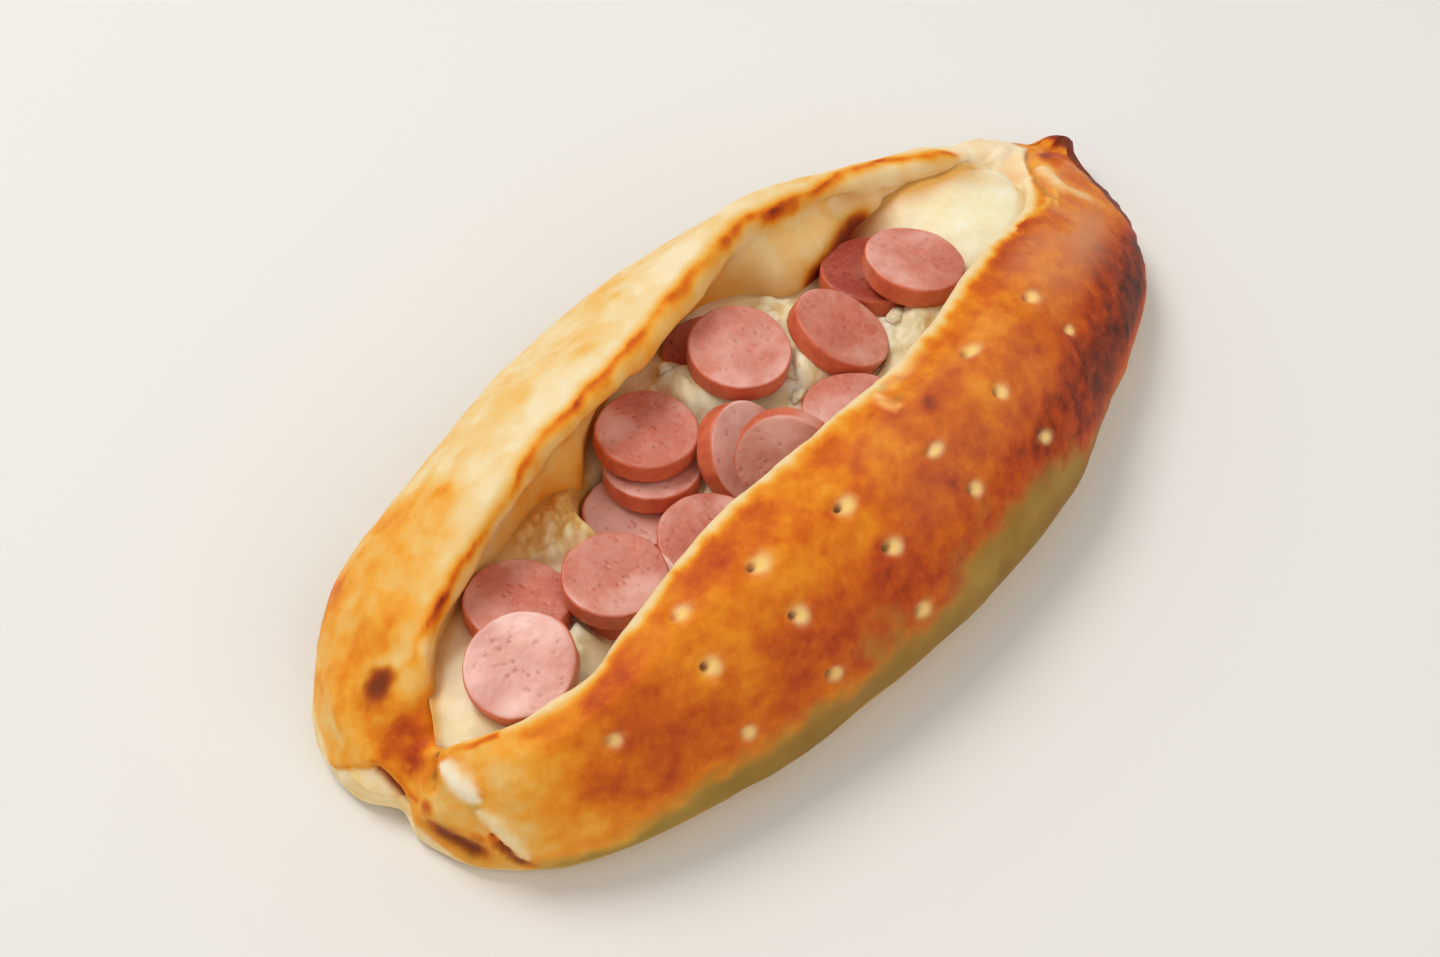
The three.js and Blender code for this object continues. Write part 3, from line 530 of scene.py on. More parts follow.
lens = lambda a: 0.30 + 0.70 * np.sqrt(np.clip(np.sin(np.pi * np.clip(a, 0.001, 0.999)), 0, 1))
l1, l2 = lens(a1), lens(a2)
disp += 1.2 * l1 * np.exp(-(p1 / 2.5) ** 2) + 1.05 * l2 * np.exp(-(p2 / 2.1) ** 2)
disp -= 0.8 * np.exp(-(s1 / 2.2) ** 2) + 0.5 * np.exp(-(s2 / 1.6) ** 2)
crinkle = smooth(-106, -114, X) * (1 - smooth(-12, -4, Y)) * smooth(-42, -34, Y)
disp += base * crinkle * (0.42 * noise(P0, 5.2, 91) + 0.18 * noise(P0, 2.2, 92))
flapn = smooth(-98, -110, X) * smooth(-8, -2, Y) * base
disp += flapn * (0.35 * noise(P0, 6.0, 95) + 0.14 * noise(P0, 2.6, 96))

# far end
ra, raa = polyline_distance(P0, RIDGE_A)
ca_, caa = polyline_distance(P0, CREASE_A)
rb, rba = polyline_distance(P0, RIDGE_B)
disp += 0.45 * np.exp(-(ra / 0.9) ** 2) * taper(raa) * (1 - smooth(88, 84, X))
disp -= 0.95 * np.exp(-(ca_ / 0.75) ** 2) * taper(caa)
disp += 1.2 * np.exp(-(rb / 2.1) ** 2) * smooth(-0.15, 0.35, rba) * (1 - smooth(0.6, 1.0, rba))
fl_ = np.linalg.norm((P0 - np.array(FAR_LUMP)) / np.array([6.4, 5.2, 5.0]), axis=1)
disp += 1.1 * np.exp(-fl_ ** 2) * smooth(8, 9, vv) * (1 - smooth(30, 31, vv)) * (1 + 0.8 * noise(P0, 3.0, 103))
ft_ = np.linalg.norm((P0 - np.array(FAR_SHADED_DIP)) / np.array([3.0, 2.8, 3.0]), axis=1)
disp -= 0.6 * np.exp(-ft_ ** 2)
farz = smooth(80, 94, X) * (1 - smooth(112, 124, X)) * smooth(-26, -12, Y)
disp += base * farz * (0.45 * noise(P0, 5.5, 101) + 0.24 * noise(P0, 2.4, 102)) * (1 - 0.5 * np.clip(corner, 0, 1))
disp -= (1.2 * gauss(X, 112, 6) + 1.9 * gauss(X, 118.5, 3.4)) * smooth(5.0, 9.0, Y) * smooth(14, 18, vv) * base
# small folds by the end of the lip
small_fold = np.zeros(len(P0))
sd_, sda = polyline_distance(P0, SMALL_DIP)
disp -= 0.55 * np.exp(-(sd_ / 0.8) ** 2) * taper(sda)
for q, line in enumerate(SMALL_FOLDS):
    d_, a_ = polyline_distance(P0, line)
    small_fold = np.maximum(small_fold, np.exp(-(d_ / 0.8) ** 2) * taper(a_))
    disp += (0.42 * np.exp(-(d_ / 0.95) ** 2) - 0.22 * np.exp(-((d_ - 1.7) / 0.6) ** 2)) * taper(a_) * (vv > 5)
# crease running in from the lip
tuck_r, tuck_a = polyline_distance(P0, TUCK)
tuck_s = np.exp(-(tuck_r / 0.9) ** 2) * taper(tuck_a)
disp += 0.32 * tuck_s - 0.45 * np.exp(-(np.linalg.norm(P0 - np.array(TUCK_DIP), axis=1) / 1.2) ** 2)
# jagged dark seam along the far right outline, up to the tip
jx = np.linspace(92, 124, 33)
jag_d, jag_a = polyline_distance(P0, surf(theta(jx), np.interp(jx, [q[0] for q in JAG], [q[1] for q in JAG])))
jag = np.exp(-(jag_d / 1.7) ** 2) * smooth(0.02, 0.25, jag_a)
corner_in = pchip([92, 99, 103, 107, 112, 116, 120, 123, 126], [0, 0.1, 0.6, 1.3, 1.8, 2.5, 2.3, 1.4, 0.6], X)
disp -= corner_in * np.exp(-(jag_d / 7.5) ** 4) * smooth(3.2, 4.4, vv) * (vv < 20) * smooth(90, 96, X)
disp += np.exp(-(jag_d / 1.8) ** 2) * smooth(0, 0.15, jag_a) * (0.45 * noise(P0, 3.4, 111) + 0.35 * noise(P0, 1.7, 112) + 0.1)
disp += 1.1 * np.exp(-(np.linalg.norm(P0 - np.array([125.5, 9.2, 10.8]), axis=1) / 2.0) ** 2)
# the side tucks in towards the base
disp -= 1.2 * gauss(vv, 4.4, 0.6) * smooth(-60, -35, X) * (1 - smooth(50, 75, X))

disp = np.where(vv < 3.2, 0, disp)
disp = np.where(vv > 32.8, 0, disp)
disp *= np.clip(smooth(-0.2, 1.6, Z), 0, 1)
open_ = smooth(0.03, 0.30, gap / 18.0)
disp *= 1 - 0.7 * smooth(12.2, 13.2, vv) * (1 - smooth(21.4, 22.6, vv)) * open_
P1 = P0 + N0 * disp[:, None]
# the near end's outline swells a little low down
P1[:, 0] -= (1.3 * gauss(Y, -10.3, 2.7) * gauss(Z, 3.5, 4.0) + 1.1 * gauss(Y, -27, 6) * gauss(Z, 0.5, 4.0) + 0.5 * gauss(Y, 8, 5) * gauss(Z, 4, 3)) * smooth(-112, -118, X)
P1 = relax(P1, tri, 0.7 * (smooth(-124.5, -127, X) + smooth(124.5, 127, X)) * smooth(2.0, 4.0, vv) * (1 - smooth(32, 34, vv)), 8)
P1[:, 2] = np.maximum(P1[:, 2], lo0[2])
P1 = relax(P1, tri, 0.8 * np.exp(-(np.linalg.norm(P1 - np.array([-124.4, -5.6, 7.0]), axis=1) / 3.2) ** 4), 40)
P1[:, 2] = np.maximum(P1[:, 2], lo0[2])
N1 = vertex_normals(P1, tri)

# ------------------------------------------------------------------ how brown the crust is
big = fbm(P0, 26, 201, 2); mid_ = fbm(P0, 9.5, 205, 3); small = fbm(P0, 3.4, 211, 2)
blot = np.tanh(2.4 * fbm(P0, 8.0, 261, 4, 0.62)); blot2 = np.tanh(2.4 * fbm(P0, 15.0, 266, 3, 0.55))
fleck = noise(P0, 1.5, 221)
along_x = lambda sc, sd: noise(np.stack([X, 0 * X, 0 * X], 1), sc, sd)
# right flap by height on the section; the lip's edge is ragged
v_r = [4.0, 4.7, 5.4, 6.0, 6.5, 7.0, 7.5, 8.0, 9.0, 9.8, 10.4, 10.8, 11.1, 11.4, 12.0, 13.0, 15.0]
b_r = [0.34, 0.42, 0.56, 0.66, 0.69, 0.66, 0.62, 0.59, 0.57, 0.59, 0.59, 0.52, 0.32, 0.11, 0.05, 0.14, 0.20]
vj = vv + (0.16 * along_x(3.4, 271) + 0.12 * along_x(1.6, 272) + 0.10 * small) * smooth(9.8, 10.8, vv) * (vv < 12.5)
bR = pchip(v_r, b_r, vj)
# left flap measured from its browned ridge line
RIDGE = np.array([[-129, 26.6], [-118, 26.3], [-108, 25.4], [-98, 24.65], [-85, 24.45], [-72, 24.5], [-64, 24.75], [-55, 25.0], [-45, 25.2],
                  [-35, 25.25], [-22, 25.3], [-10, 25.15], [0, 24.95], [12, 24.8], [22, 24.7], [32, 24.5], [42, 24.5], [50, 24.7], [56, 25.2],
                  [62, 25.3], [68, 25.6], [76, 25.1], [84, 25.0], [92, 24.8], [129, 24.8]])
dr = vv - pchip(RIDGE[:, 0], RIDGE[:, 1], X) - (0.10 * along_x(5, 231) + 0.06 * along_x(2.2, 232))
inner = pchip([-6, -3.5, -2.5, -1.2, -0.4, 0], [0.48, 0.46, 0.40, 0.36, 0.40, 0.42], dr) - 0.15 * smooth(8, 30, X) * smooth(-0.2, -0.9, dr)
outer = pchip([0, 0.3, 0.7, 1.2, 3, 4.5, 6, 8, 12], [0.36, 0.20, 0.06, 0.07, 0.15, 0.20, 0.24, 0.24, 0.2], dr)
line_on = smooth(-106, -92, X) * (1 - smooth(84, 92, X))
bL = np.where(dr < 0, inner, outer)
bL = bL + line_on * (0.12 + 0.12 * along_x(8, 233) + 0.06 * along_x(3, 234)) * np.exp(-((dr + 0.10) / (0.34 + 0.10 * along_x(6, 235))) ** 2)
bake = np.where(vv < 16, bR, bL)
bake = np.where(vv < 4, 0.2, bake)
top_r = smooth(5.0, 6.0, vv) * (1 - smooth(10.7, 11.2, vj))
bake += top_r * (0.035 * big + 0.045 * mid_ + 0.035 * blot + 0.03 * blot2 + 0.04 * small + 0.02 * fleck)
bake += 0.05 * smooth(-90, -60, X) * gauss(vv, 6.6, 0.45) * (1 - smooth(30, 60, X))
bake += 0.17 * smooth(-10, 75, X) * smooth(7.2, 5.8, vv) * (vv > 3) * (1 - smooth(104, 116, X)) + 0.06 * gauss(X, 2, 22) * gauss(vv, 9.2, 1.0)
top_l = smooth(0.2, 1.0, dr) * (1 - smooth(31, 33, vv)) * (vv > 20)
bake += top_l * (0.04 * big + 0.06 * mid_ + 0.05 * blot + 0.03 * blot2 + 0.045 * small)
streak = noise(np.stack([X, vv * 2.0, 0 * X], 1), (3.2, 5, 1), 241)
bake += (dr < 0) * (vv > 20) * (0.06 * mid_ + 0.06 * streak + 0.04 * blot)
# browned and paler patches: x, v, half sizes, amount
for px, pv, sx, sv, a in (
        (-92, 9.2, 7, 1.5, .09), (-101, 9.6, 3, 1.4, -.10), (-68, 8.6, 5, .6, -.04), (-35, 8.9, 10, .7, -.05), (-60, 9.8, 4, .5, .10),
        (-45, 10.2, 4, .4, .06), (-105, 6.7, 7, .5, .06), (-3.5, 9.4, 2, .5, .12), (8, 8.9, 4, .6, .04),
        (58, 10.2, 7, .5, .12), (75, 10.0, 7, .6, .12), (85, 7.8, 8, .8, .05), (88, 6.6, 10, .7, .08),
        (75, 7.0, 8, .5, .08), (35, 7.6, 8, .5, -.03), (18, 8.2, 6, .5, -.05), (-30, 7.6, 8, .5, -.05), (-70, 6.9, 9, .4, -.03),
        (-46, 9.3, 2.4, .35, .12), (20, 9.0, 9, .35, .07), (4, 8.7, 3, .3, .08), (45, 8.6, 8, .5, -.06), (-18, 10.3, 5, .3, .05), (30, 10.3, 6, .3, .03), (-79, 6.9, 3, .3, .07), (62, 6.2, 14, .5, .05), (28, 9.6, 7, .6, -.05)):
    bake += a * gauss(X, px, sx) * gauss(vv, pv, sv)
for px, pv, sx, sv, a in (
        (-77, 26.9, 4.5, .40, .26), (-84, 27.8, 5, .5, .14), (-100, 28.7, 10, .5, .12), (-90, 28.2, 8, .4, .08), (-32, 26.7, 3, .25, .10),
        (-50, 27.6, 10, .4, .05), (-20, 27.8, 10, .5, .05), (70, 25.9, 2.6, .35, .32), (62, 25.6, 3, .3, .12), (45, 25.5, 6, .3, .08),
        (82, 25.1, 5, .2, .14), (-95, 24.9, 5, .4, .12), (30, 24.0, 3.6, .35, .30), (38, 23.8, 3, .3, .20), (10, 24.5, 4, .25, .18),
        (-3, 24.7, 4, .2, .10), (-98, 24.2, 3, .5, .22), (57, 25.0, 3, .25, .14)):
    bake += a * gauss(X, px, sx) * gauss(vv, pv, sv) * (1 + 0.35 * blot)
bake -= 0.07 * gauss(X, -104, 14) * gauss(vv, 7.0, 1.6) * (vv < 12)
bake += 0.05 * smooth(-30, -5, X) * gauss(vv, 7.9, 0.9) * (1 - smooth(30, 45, X))
bake -= (0.07 + 0.10 * gauss(X, -98, 12) + 0.05 * gauss(X, -72, 12) + 0.07 * gauss(X, 20, 6)) * smooth(-0.1, -0.5, dr) * (vv > 20) * smooth(-112, -104, X)
bake += 0.07 * smooth(-5, 20, X) * gauss(vv, 5.7, 0.7) * (1 - smooth(96, 104, X))
# golden near end
near_r = smooth(-101, -113, X) * (vv < 13)
bake = bake + near_r * (np.clip(0.33 + 0.07 * mid_ + 0.06 * blot + 0.04 * small, 0, 1) - bake) * 0.85 * smooth(4.6, 5.6, vv)
near_l = smooth(-76, -102, X) * (vv > 22) * smooth(-0.2, 1.2, dr) * (1 - smooth(30.0, 31.6, vv))
bake = bake + near_l * (np.clip(0.45 + 0.08 * mid_ + 0.06 * blot + 0.03 * big + 0.04 * small, 0, 1) - bake) * 0.9
bake -= 0.10 * smooth(-120.5, -124.5, X) * (vv > 16) * (vv < 30)
# the closed ends have no ridge or wall
bake = bake + closed * (np.where(X < 0, 0.44 - 0.09 * smooth(-120.5, -124.5, X) + 0.08 * mid_ + 0.06 * blot + 0.04 * small, 0.50 + 0.07 * mid_ + 0.06 * blot + 0.04 * small) - bake)
bake = np.clip(bake, 0.02, 0.93)

# scorch_and_painted_shade: real scorch marks, and painted shade in the recess behind slice 14, under the left flap's
# end, in the docking holes and along the low right edge
scorch_and_painted_shade = np.zeros(len(P0)); red = np.zeros(len(P0)); cream = np.zeros(len(P0))


def spot(c, r, k=2.0, wob=0.25, seed=301):
    d = np.linalg.norm((P0 - np.array(c)) / np.array(r), axis=1)
    return np.exp(-(d * (1 + wob * noise(P0, 2.6, seed))) ** k)


outside = ((vv > 3.2) & (vv < 12.2)) | (vv > 24.0) | (closed > 0.3)
# near end
# white_and_painted_highlight: near-white dough on the first pleat and the far lump, partly painted highlight
white_and_painted_highlight = np.zeros(len(P0))
scorch_and_painted_shade = np.maximum(scorch_and_painted_shade, 0.85 * spot(BURNT, (3.6, 3.0, 4.8), 3.0, 0.2))
bake = np.maximum(bake, 0.78 * spot(BURNT, (5.0, 4.2, 6.0), 2.6))
patch = np.clip(1.05 * spot((-118.2, -1.6, 18.2), (5.0, 5.2, 5.6), 1.7, 0.35) + 0.7 * spot((-120.0, -5.2, 15.6), (3.4, 3.4, 4.2), 1.8, 0.3), 0, 1) * smooth(0.1, 0.5, 0.5 + 0.3 * noise(P0, 2.4, 341))
bake = bake + patch * (0.70 + 0.05 * mid_ - bake) * 0.95; bake += 0.10 * spot((-119.2, -6.2, 15.8), (2.6, 2.2, 2.6), 2.0)
bake = np.maximum(bake, 0.56 * np.exp(-(me_ / 2.1) ** 2) * smooth(24.4, 25.2, vv + 20 * closed))
ls_m = np.exp(-(ls / 1.3) ** 2) * (vv < 12.6) * taper(lsa)
bake = np.maximum(bake, 0.61 * ls_m)
nc = 0.88 + 0.22 * noise(P0, 2.4, 305)
cream = np.maximum(cream, np.exp(-(p1 / (3.1 * nc * l1)) ** 3))
white_and_painted_highlight = np.maximum(white_and_painted_highlight, 0.85 * np.exp(-(p1 / (1.9 * nc * l1)) ** 2.4))
cream = np.maximum(cream, 0.95 * np.exp(-(p2 / (2.2 * nc * l2)) ** 3))
scorch_and_painted_shade = np.maximum(scorch_and_painted_shade, 0.88 * np.exp(-(s1 / (2.9 * nc)) ** 2.6) * taper(b1 * 0.9 + 0.05))
scorch_and_painted_shade = np.maximum(scorch_and_painted_shade, 0.76 * np.exp(-(s2 / (1.5 * nc)) ** 2.5) * taper(b2))
bake = np.maximum(bake, 0.66 * np.exp(-(s1 / 3.4) ** 2)); bake = np.maximum(bake, 0.64 * np.exp(-(s2 / 2.8) ** 2))
bake = np.maximum(bake, 0.60 * spot((-121.8, -25.9, 12.0), (2.6, 2.8, 2.6), 2.0))
bake = np.maximum(bake, 0.80 * np.exp(-(c2 / 0.7) ** 2) * taper(c2a))
fo, foa = polyline_distance(P0, FOLD)
bake = np.maximum(bake, 0.58 * np.exp(-(fo / 1.5) ** 2))
bake = np.maximum(bake, 0.60 * np.exp(-(dl / 1.3) ** 2) * smooth(-0.7, 0.3, up_l) * (0.85 + 0.2 * noise(P0, 3.0, 306)))
below = (1 - smooth(-1.3, -0.2, up_l)) * on_left
cream = np.maximum(cream, below * (0.92 + 0.08 * mid_))
scorch_and_painted_shade = np.maximum(scorch_and_painted_shade, 0.62 * np.exp(-(dg / (1.05 * nc)) ** 2.4) * taper(ag * 0.9 + 0.05))
bake = np.maximum(bake, 0.74 * np.exp(-(dg / 1.5) ** 2) * taper(ag)); cream *= 1 - 0.85 * np.exp(-(dg / 1.15) ** 2.4) * taper(ag)
for q in SEAM_SPOTS:
    scorch_and_painted_shade = np.maximum(scorch_and_painted_shade, 0.55 * spot(q, (1.0, 0.9, 1.2), 2.0))
bake = np.maximum(bake, 0.50 * np.exp(-(ds / 0.8) ** 2))
red = np.maximum(red, 0.85 * spot(RED_DOT, (1.3, 1.2, 1.1), 2.4)); bake = np.maximum(bake, 0.60 * spot(RED_DOT, (3.2, 3.2, 3.2), 2.2))
# cream rim low at the near end
rim_z = np.interp(-Y, [-16, -9, -4, 0, 6, 12, 18, 24, 35], [9.0, 6.0, 4.5, 6.0, 7.5, 6.4, 4.4, 3.2, 2.0])
rim = smooth(-104, -115, X) * (1 - smooth(rim_z - 1.2, rim_z + 0.8, Z + 0.8 * mid_)) * smooth(2.5, 3.4, vv) * (1 - smooth(32.4, 33.4, vv))
cream = np.maximum(cream, 0.88 * rim * (1 - scorch_and_painted_shade))
# far end: a cream lump, the cream fold and the bright one, with an olive crease between them in painted shade, and a
# tan patch of painted shade under the lump
ya_ = np.interp(X, [q[0] for q in CREASE_A[:5][::-1]], [q[1] for q in CREASE_A[:5][::-1]])
lump_side = smooth(85, 89, X) * (1 - smooth(109, 112, X)) * smooth(0.2, 1.0, Y - ya_) * smooth(9.0, 9.8, vv) * (1 - smooth(28.8, 30.0, vv))
cream = np.maximum(cream, lump_side * (0.95 + 0.12 * noise(P0, 3, 311)))
white_and_painted_highlight = np.maximum(white_and_painted_highlight, 0.35 * lump_side)
white_and_painted_highlight = np.maximum(white_and_painted_highlight, 0.5 * np.exp(-fl_ ** 2))
cream = np.maximum(cream, 0.92 * np.exp(-(ra / 1.0) ** 2) * smooth(0.0, 0.06, raa) * (1 - smooth(0.6, 1.0, raa)))
cream = np.maximum(cream, (0.80 - 0.40 * rba) * np.exp(-(rb / (2.3 * nc)) ** 2.6) * smooth(0.0, 0.12, rba) * (1 - smooth(0.85, 1.0, rba)))
bake = bake + np.exp(-(rb / 3.0) ** 2) * (0.40 - bake) * 0.6
# painted shade: an olive line in the crease
olive_crease_shade = np.exp(-(ca_ / 0.62) ** 2) * (0.2 + 0.8 * taper(caa))
cream *= 1 - 0.85 * olive_crease_shade
bake = bake + olive_crease_shade * (0.50 - bake)
# painted shade: a tan patch on the wall under the cream lump
tan_painted_shade = np.exp(-(np.linalg.norm((P0 - np.array(FAR_SHADED_DIP)) / np.array([3.2, 2.8, 2.6]), axis=1)) ** 2)
cream *= 1 - 0.80 * tan_painted_shade; bake = bake + tan_painted_shade * (0.36 - bake)
beyond = smooth(2.0, 4.5, np.minimum(rb, 9)) * smooth(-1.5, -4.0, Y - ya_) * smooth(99, 103, X)
orange_level = 0.53 + 0.13 * beyond
orange = smooth(96, 101, X) * (1 - smooth(119, 123, X)) * smooth(-16, -11, Y) * (1 - smooth(0.3, 1.6, Y - ya_)) * smooth(2.0, 3.4, np.minimum(rb, 9)) * (vv > 5)
bake = bake + orange * (orange_level + 0.05 * mid_ + 0.05 * blot - bake) * 0.9
bo, boa = polyline_distance(P0, BRIGHT_ORANGE)
bake = bake + np.exp(-(bo / 1.3) ** 2) * (0.42 - bake)
bake = np.maximum(bake, 0.62 * spot((107.7, 1.8, 19.8), (3.2, 2.6, 2.6)))

body_ = smooth(80, 92, X) * (1 - smooth(104, 112, X)) * smooth(7.0, 7.8, vv) * (vv < 10.5) * smooth(1.5, 3.0, rb) * smooth(-9, -12, Y)
bake = bake + body_ * (0.58 + 0.06 * mid_ + 0.05 * blot - bake) * 0.7
far_dot = spot(FAR_SPOT, (3.4, 2.8, 3.0), 2.2, 0.2)
bake = bake + far_dot * (0.84 - bake) * 0.95
scorch_and_painted_shade = np.maximum(scorch_and_painted_shade, 0.30 * far_dot ** 2)
bake = bake + np.clip(small_fold, 0, 1) * (0.34 - bake) * 0.8 * (vv < 12.5)
bake = np.maximum(bake, 0.56 * np.exp(-(sd_ / 0.9) ** 2) * taper(sda))
bake = np.maximum(bake, 0.72 * np.clip(spot((68.5, -13.7, 33.3), (3.0, 2.0, 3.0)) + spot((73.7, -14.2, 32.1), (4.0, 1.8, 3.0)) + spot((78.0, -16.0, 31.2), (3.4, 1.8, 3.0)) + 0.8 * spot((71.0, -17.2, 33.2), (4.0, 2.4, 3.0)), 0, 1) * (vj < 11.1))
# painted shadow under the end of the left flap
uf, ufa = polyline_distance(P0, UNDER_FLAP_SHADOW)
scorch_and_painted_shade = np.maximum(scorch_and_painted_shade, 0.55 * np.exp(-(uf / 0.9) ** 2) * taper(ufa * 0.9 + 0.05))
bake = np.maximum(bake, 0.85 * jag * smooth(104, 98, X) * (0.85 + 0.25 * noise(P0, 3.0, 312)))
scorch_and_painted_shade = np.maximum(scorch_and_painted_shade, 0.75 * spot((126.0, 9.0, 10.2), (2.6, 2.4, 3.4), 3.0) )
# painted shadow: the dark gap where the left flap's end meets the cheese
scorch_and_painted_shade = np.maximum(scorch_and_painted_shade, 0.55 * spot((86.0, 14.4, 24.0), (3.2, 1.4, 1.3), 2.4))
# painted shade: the inner wall behind slice 14 turned dark brown, where shadow falls
rc, rca = polyline_distance(P0, RECESS_SHADE)
recess_shade = np.exp(-(rc / (3.6 + 0.5 * noise(P0, 2.4, 351))) ** 3) * (vv > 16) * (1 - smooth(21.8, 22.6, vv + 0.15 * noise(P0, 2.0, 352)))
cream *= 1 - recess_shade; bake = bake + recess_shade * (0.86 - bake) * 0.9; scorch_and_painted_shade = np.maximum(scorch_and_painted_shade, 0.72 * recess_shade)
cream = np.maximum(cream, 0.6 * np.clip(torn, 0, 1) * (0.6 + 0.4 * noise(P0, 2, 313)))
cream = np.maximum(cream, 0.34 * tuck_s)
bake = bake + np.clip(spot(TUCK_YELLOW, (1.6, 1.4, 1.4)) + tuck_s, 0, 1) * (0.30 - bake) * 0.8
bake = np.maximum(bake, 0.74 * spot(TUCK_BROWN, (1.7, 1.5, 1.5)))
cream = np.maximum(cream, 0.82 * pale_ring_and_painted_highlight)
# painted shade: the docking holes darkened as if in shadow
scorch_and_painted_shade = np.maximum(scorch_and_painted_shade, 0.72 * hole)
tipdark = smooth(119, 124, X) * smooth(0.3, 2.5, Z)
bake = np.maximum(bake, 0.86 * tipdark)
v_in = np.interp(X, [98, 100, 103, 106, 112, 116, 120, 124, 126], [6.2, 7.0, 7.6, 8.0, 8.3, 8.8, 9.4, 11.0, 14.0])
vq = vv + 0.22 * along_x(2.6, 315) + 0.12 * along_x(1.2, 316)
band = smooth(5.0, 5.8, vv) * (1 - smooth(v_in - 0.15, v_in + 0.15, vq)) * smooth(96, 110, X + 1.5 * mid_ + 6.0 * (vv > 7.4)) * (vv < 15) * smooth(0.5, 2.5, Z)
bake = np.maximum(bake, 0.90 * band)
scorch_and_painted_shade = np.maximum(scorch_and_painted_shade, 0.62 * band * smooth(102, 108, X) * (0.75 + 0.45 * noise(P0, 3.0, 317)))
scorch_and_painted_shade = np.maximum(scorch_and_painted_shade, 0.8 * spot((123.6, 7.6, 12.4), (2.4, 2.4, 2.6), 3.0))
# greenish pale band low on the right side: pale dough, darkened as painted shade, its green partly a painted reflection
v_pale = pchip([-129, -115, -90, -60, -30, 0, 20, 35, 55, 70, 129], [4.7, 4.9, 5.35, 5.5, 6.0, 6.1, 6.0, 5.6, 5.1, 4.8, 4.6], X)
calm = smooth(5.0, 5.6, vv) * (1 - smooth(8.4, 9.0, vv)) * (1 - smooth(-25, 5, X)) * smooth(-100, -90, X)
bake = bake - 0.42 * calm * np.clip(bake - 0.70, 0, 1)
pale_and_painted_shade = (1 - smooth(v_pale - 0.55, v_pale + 0.40, vv + 0.36 * mid_ + 0.20 * blot)) * (0.25 + 0.75 * smooth(3.7, 4.4, vv)) * smooth(2.6, 3.6, vv) * (vv < 16)
under_r = (1 - smooth(3.8, 4.5, vv)) * (vv < 16) * smooth(-112, -100, X) * (1 - smooth(84, 100, X))
bake = bake + under_r * (0.24 + 0.05 * mid_ + 0.04 * blot - bake) * 0.92
pale_and_painted_shade = np.maximum(pale_and_painted_shade, 0.55 * smooth(30.9, 31.8, vv) * (vv > 16))
pale_and_painted_shade *= 1 - 0.8 * smooth(-112, -118, X)
# painted shade: the right side darkened along its lowest edge, where a contact shadow falls
scorch_and_painted_shade = np.maximum(scorch_and_painted_shade, 0.34 * smooth(5.55, 4.9, vv) * smooth(3.6, 4.4, vv) * smooth(-100, -60, X) * (1 - smooth(50, 75, X)) * (vv < 16))
pale_and_painted_shade = np.maximum(pale_and_painted_shade, 0.62 * olive_crease_shade + 0.35 * tan_painted_shade)
for q in TUCK_DIPS:
    pale_and_painted_shade = np.maximum(pale_and_painted_shade, 0.5 * spot(q, (1.1, 1.0, 1.0)))
for q in SEAM_SPOTS:
    pale_and_painted_shade = np.maximum(pale_and_painted_shade, 0.6 * spot(q, (1.3, 1.1, 1.5)))
pale_and_painted_shade = np.maximum(pale_and_painted_shade, 0.45 * spot((-120.1, -24.3, 19.7), (1.6, 1.8, 1.4)) + 0.35 * spot((-121.5, -16.8, 20.2), (1.6, 1.8, 1.4)))
# painted sheen: a dull pinkish tan over the upper right flap, where a soft highlight falls
painted_sheen = smooth(40, 72, X) * smooth(7.1, 8.2, vv) * (1 - smooth(9.6, 10.8, vv)) * (1 - smooth(112, 118, X)) * (0.55 + 0.25 * blot2 + 0.2 * mid_)
painted_sheen = np.maximum(painted_sheen, 0.16 * smooth(-30, -10, X) * (1 - smooth(35, 45, X)) * smooth(6.5, 7.4, vv) * (1 - smooth(9.2, 10.4, vv)))
painted_sheen = np.clip(painted_sheen, 0, 1) * (vv < 12) * (1 - np.clip(scorch_and_painted_shade, 0, 1))

attrs = dict(bake=np.clip(bake, 0, 1), cream=np.clip(cream, 0, 1), scorch_and_painted_shade=np.clip(scorch_and_painted_shade, 0, 1), pale_and_painted_shade=np.clip(pale_and_painted_shade, 0, 1), red=np.clip(red, 0, 1), white_and_painted_highlight=np.clip(white_and_painted_highlight, 0, 1), painted_sheen=painted_sheen, golden_and_painted_highlight=np.clip(pale_ring_and_painted_highlight, 0, 1))


# =====================================================================================
# Materials
# =====================================================================================
def srgb(r, g, b, a=1.0):
    f = lambda c: (c / 255 / 12.92) if c / 255 <= 0.04045 else ((c / 255 + 0.055) / 1.055) ** 2.4
    return (f(r), f(g), f(b), a)


def new_material(name):
    m = bpy.data.materials.new(name); m.use_nodes = True
    nt = m.node_tree
    for n in list(nt.nodes):
        nt.nodes.remove(n)
    out = nt.nodes.new("ShaderNodeOutputMaterial"); bs = nt.nodes.new("ShaderNodeBsdfPrincipled")
    nt.links.new(bs.outputs[0], out.inputs[0])
    return m, nt, bs


def node(nt, kind, **kw):
    n = nt.nodes.new(kind)
    for k, v in kw.items():
        setattr(n, k, v)
    return n


def attr(nt, name):
    n = node(nt, "ShaderNodeAttribute", attribute_type='GEOMETRY', attribute_name=name)
    return n.outputs["Fac"]


def noise_tex(nt, co, scale, detail=3.0, rough=0.55, dist=0.0):
    n = node(nt, "ShaderNodeTexNoise"); n.inputs["Scale"].default_value = scale
    n.inputs["Detail"].default_value = detail; n.inputs["Roughness"].default_value = rough
    n.inputs["Distortion"].default_value = dist
    nt.links.new(co, n.inputs["Vector"])
    return n.outputs["Fac"]


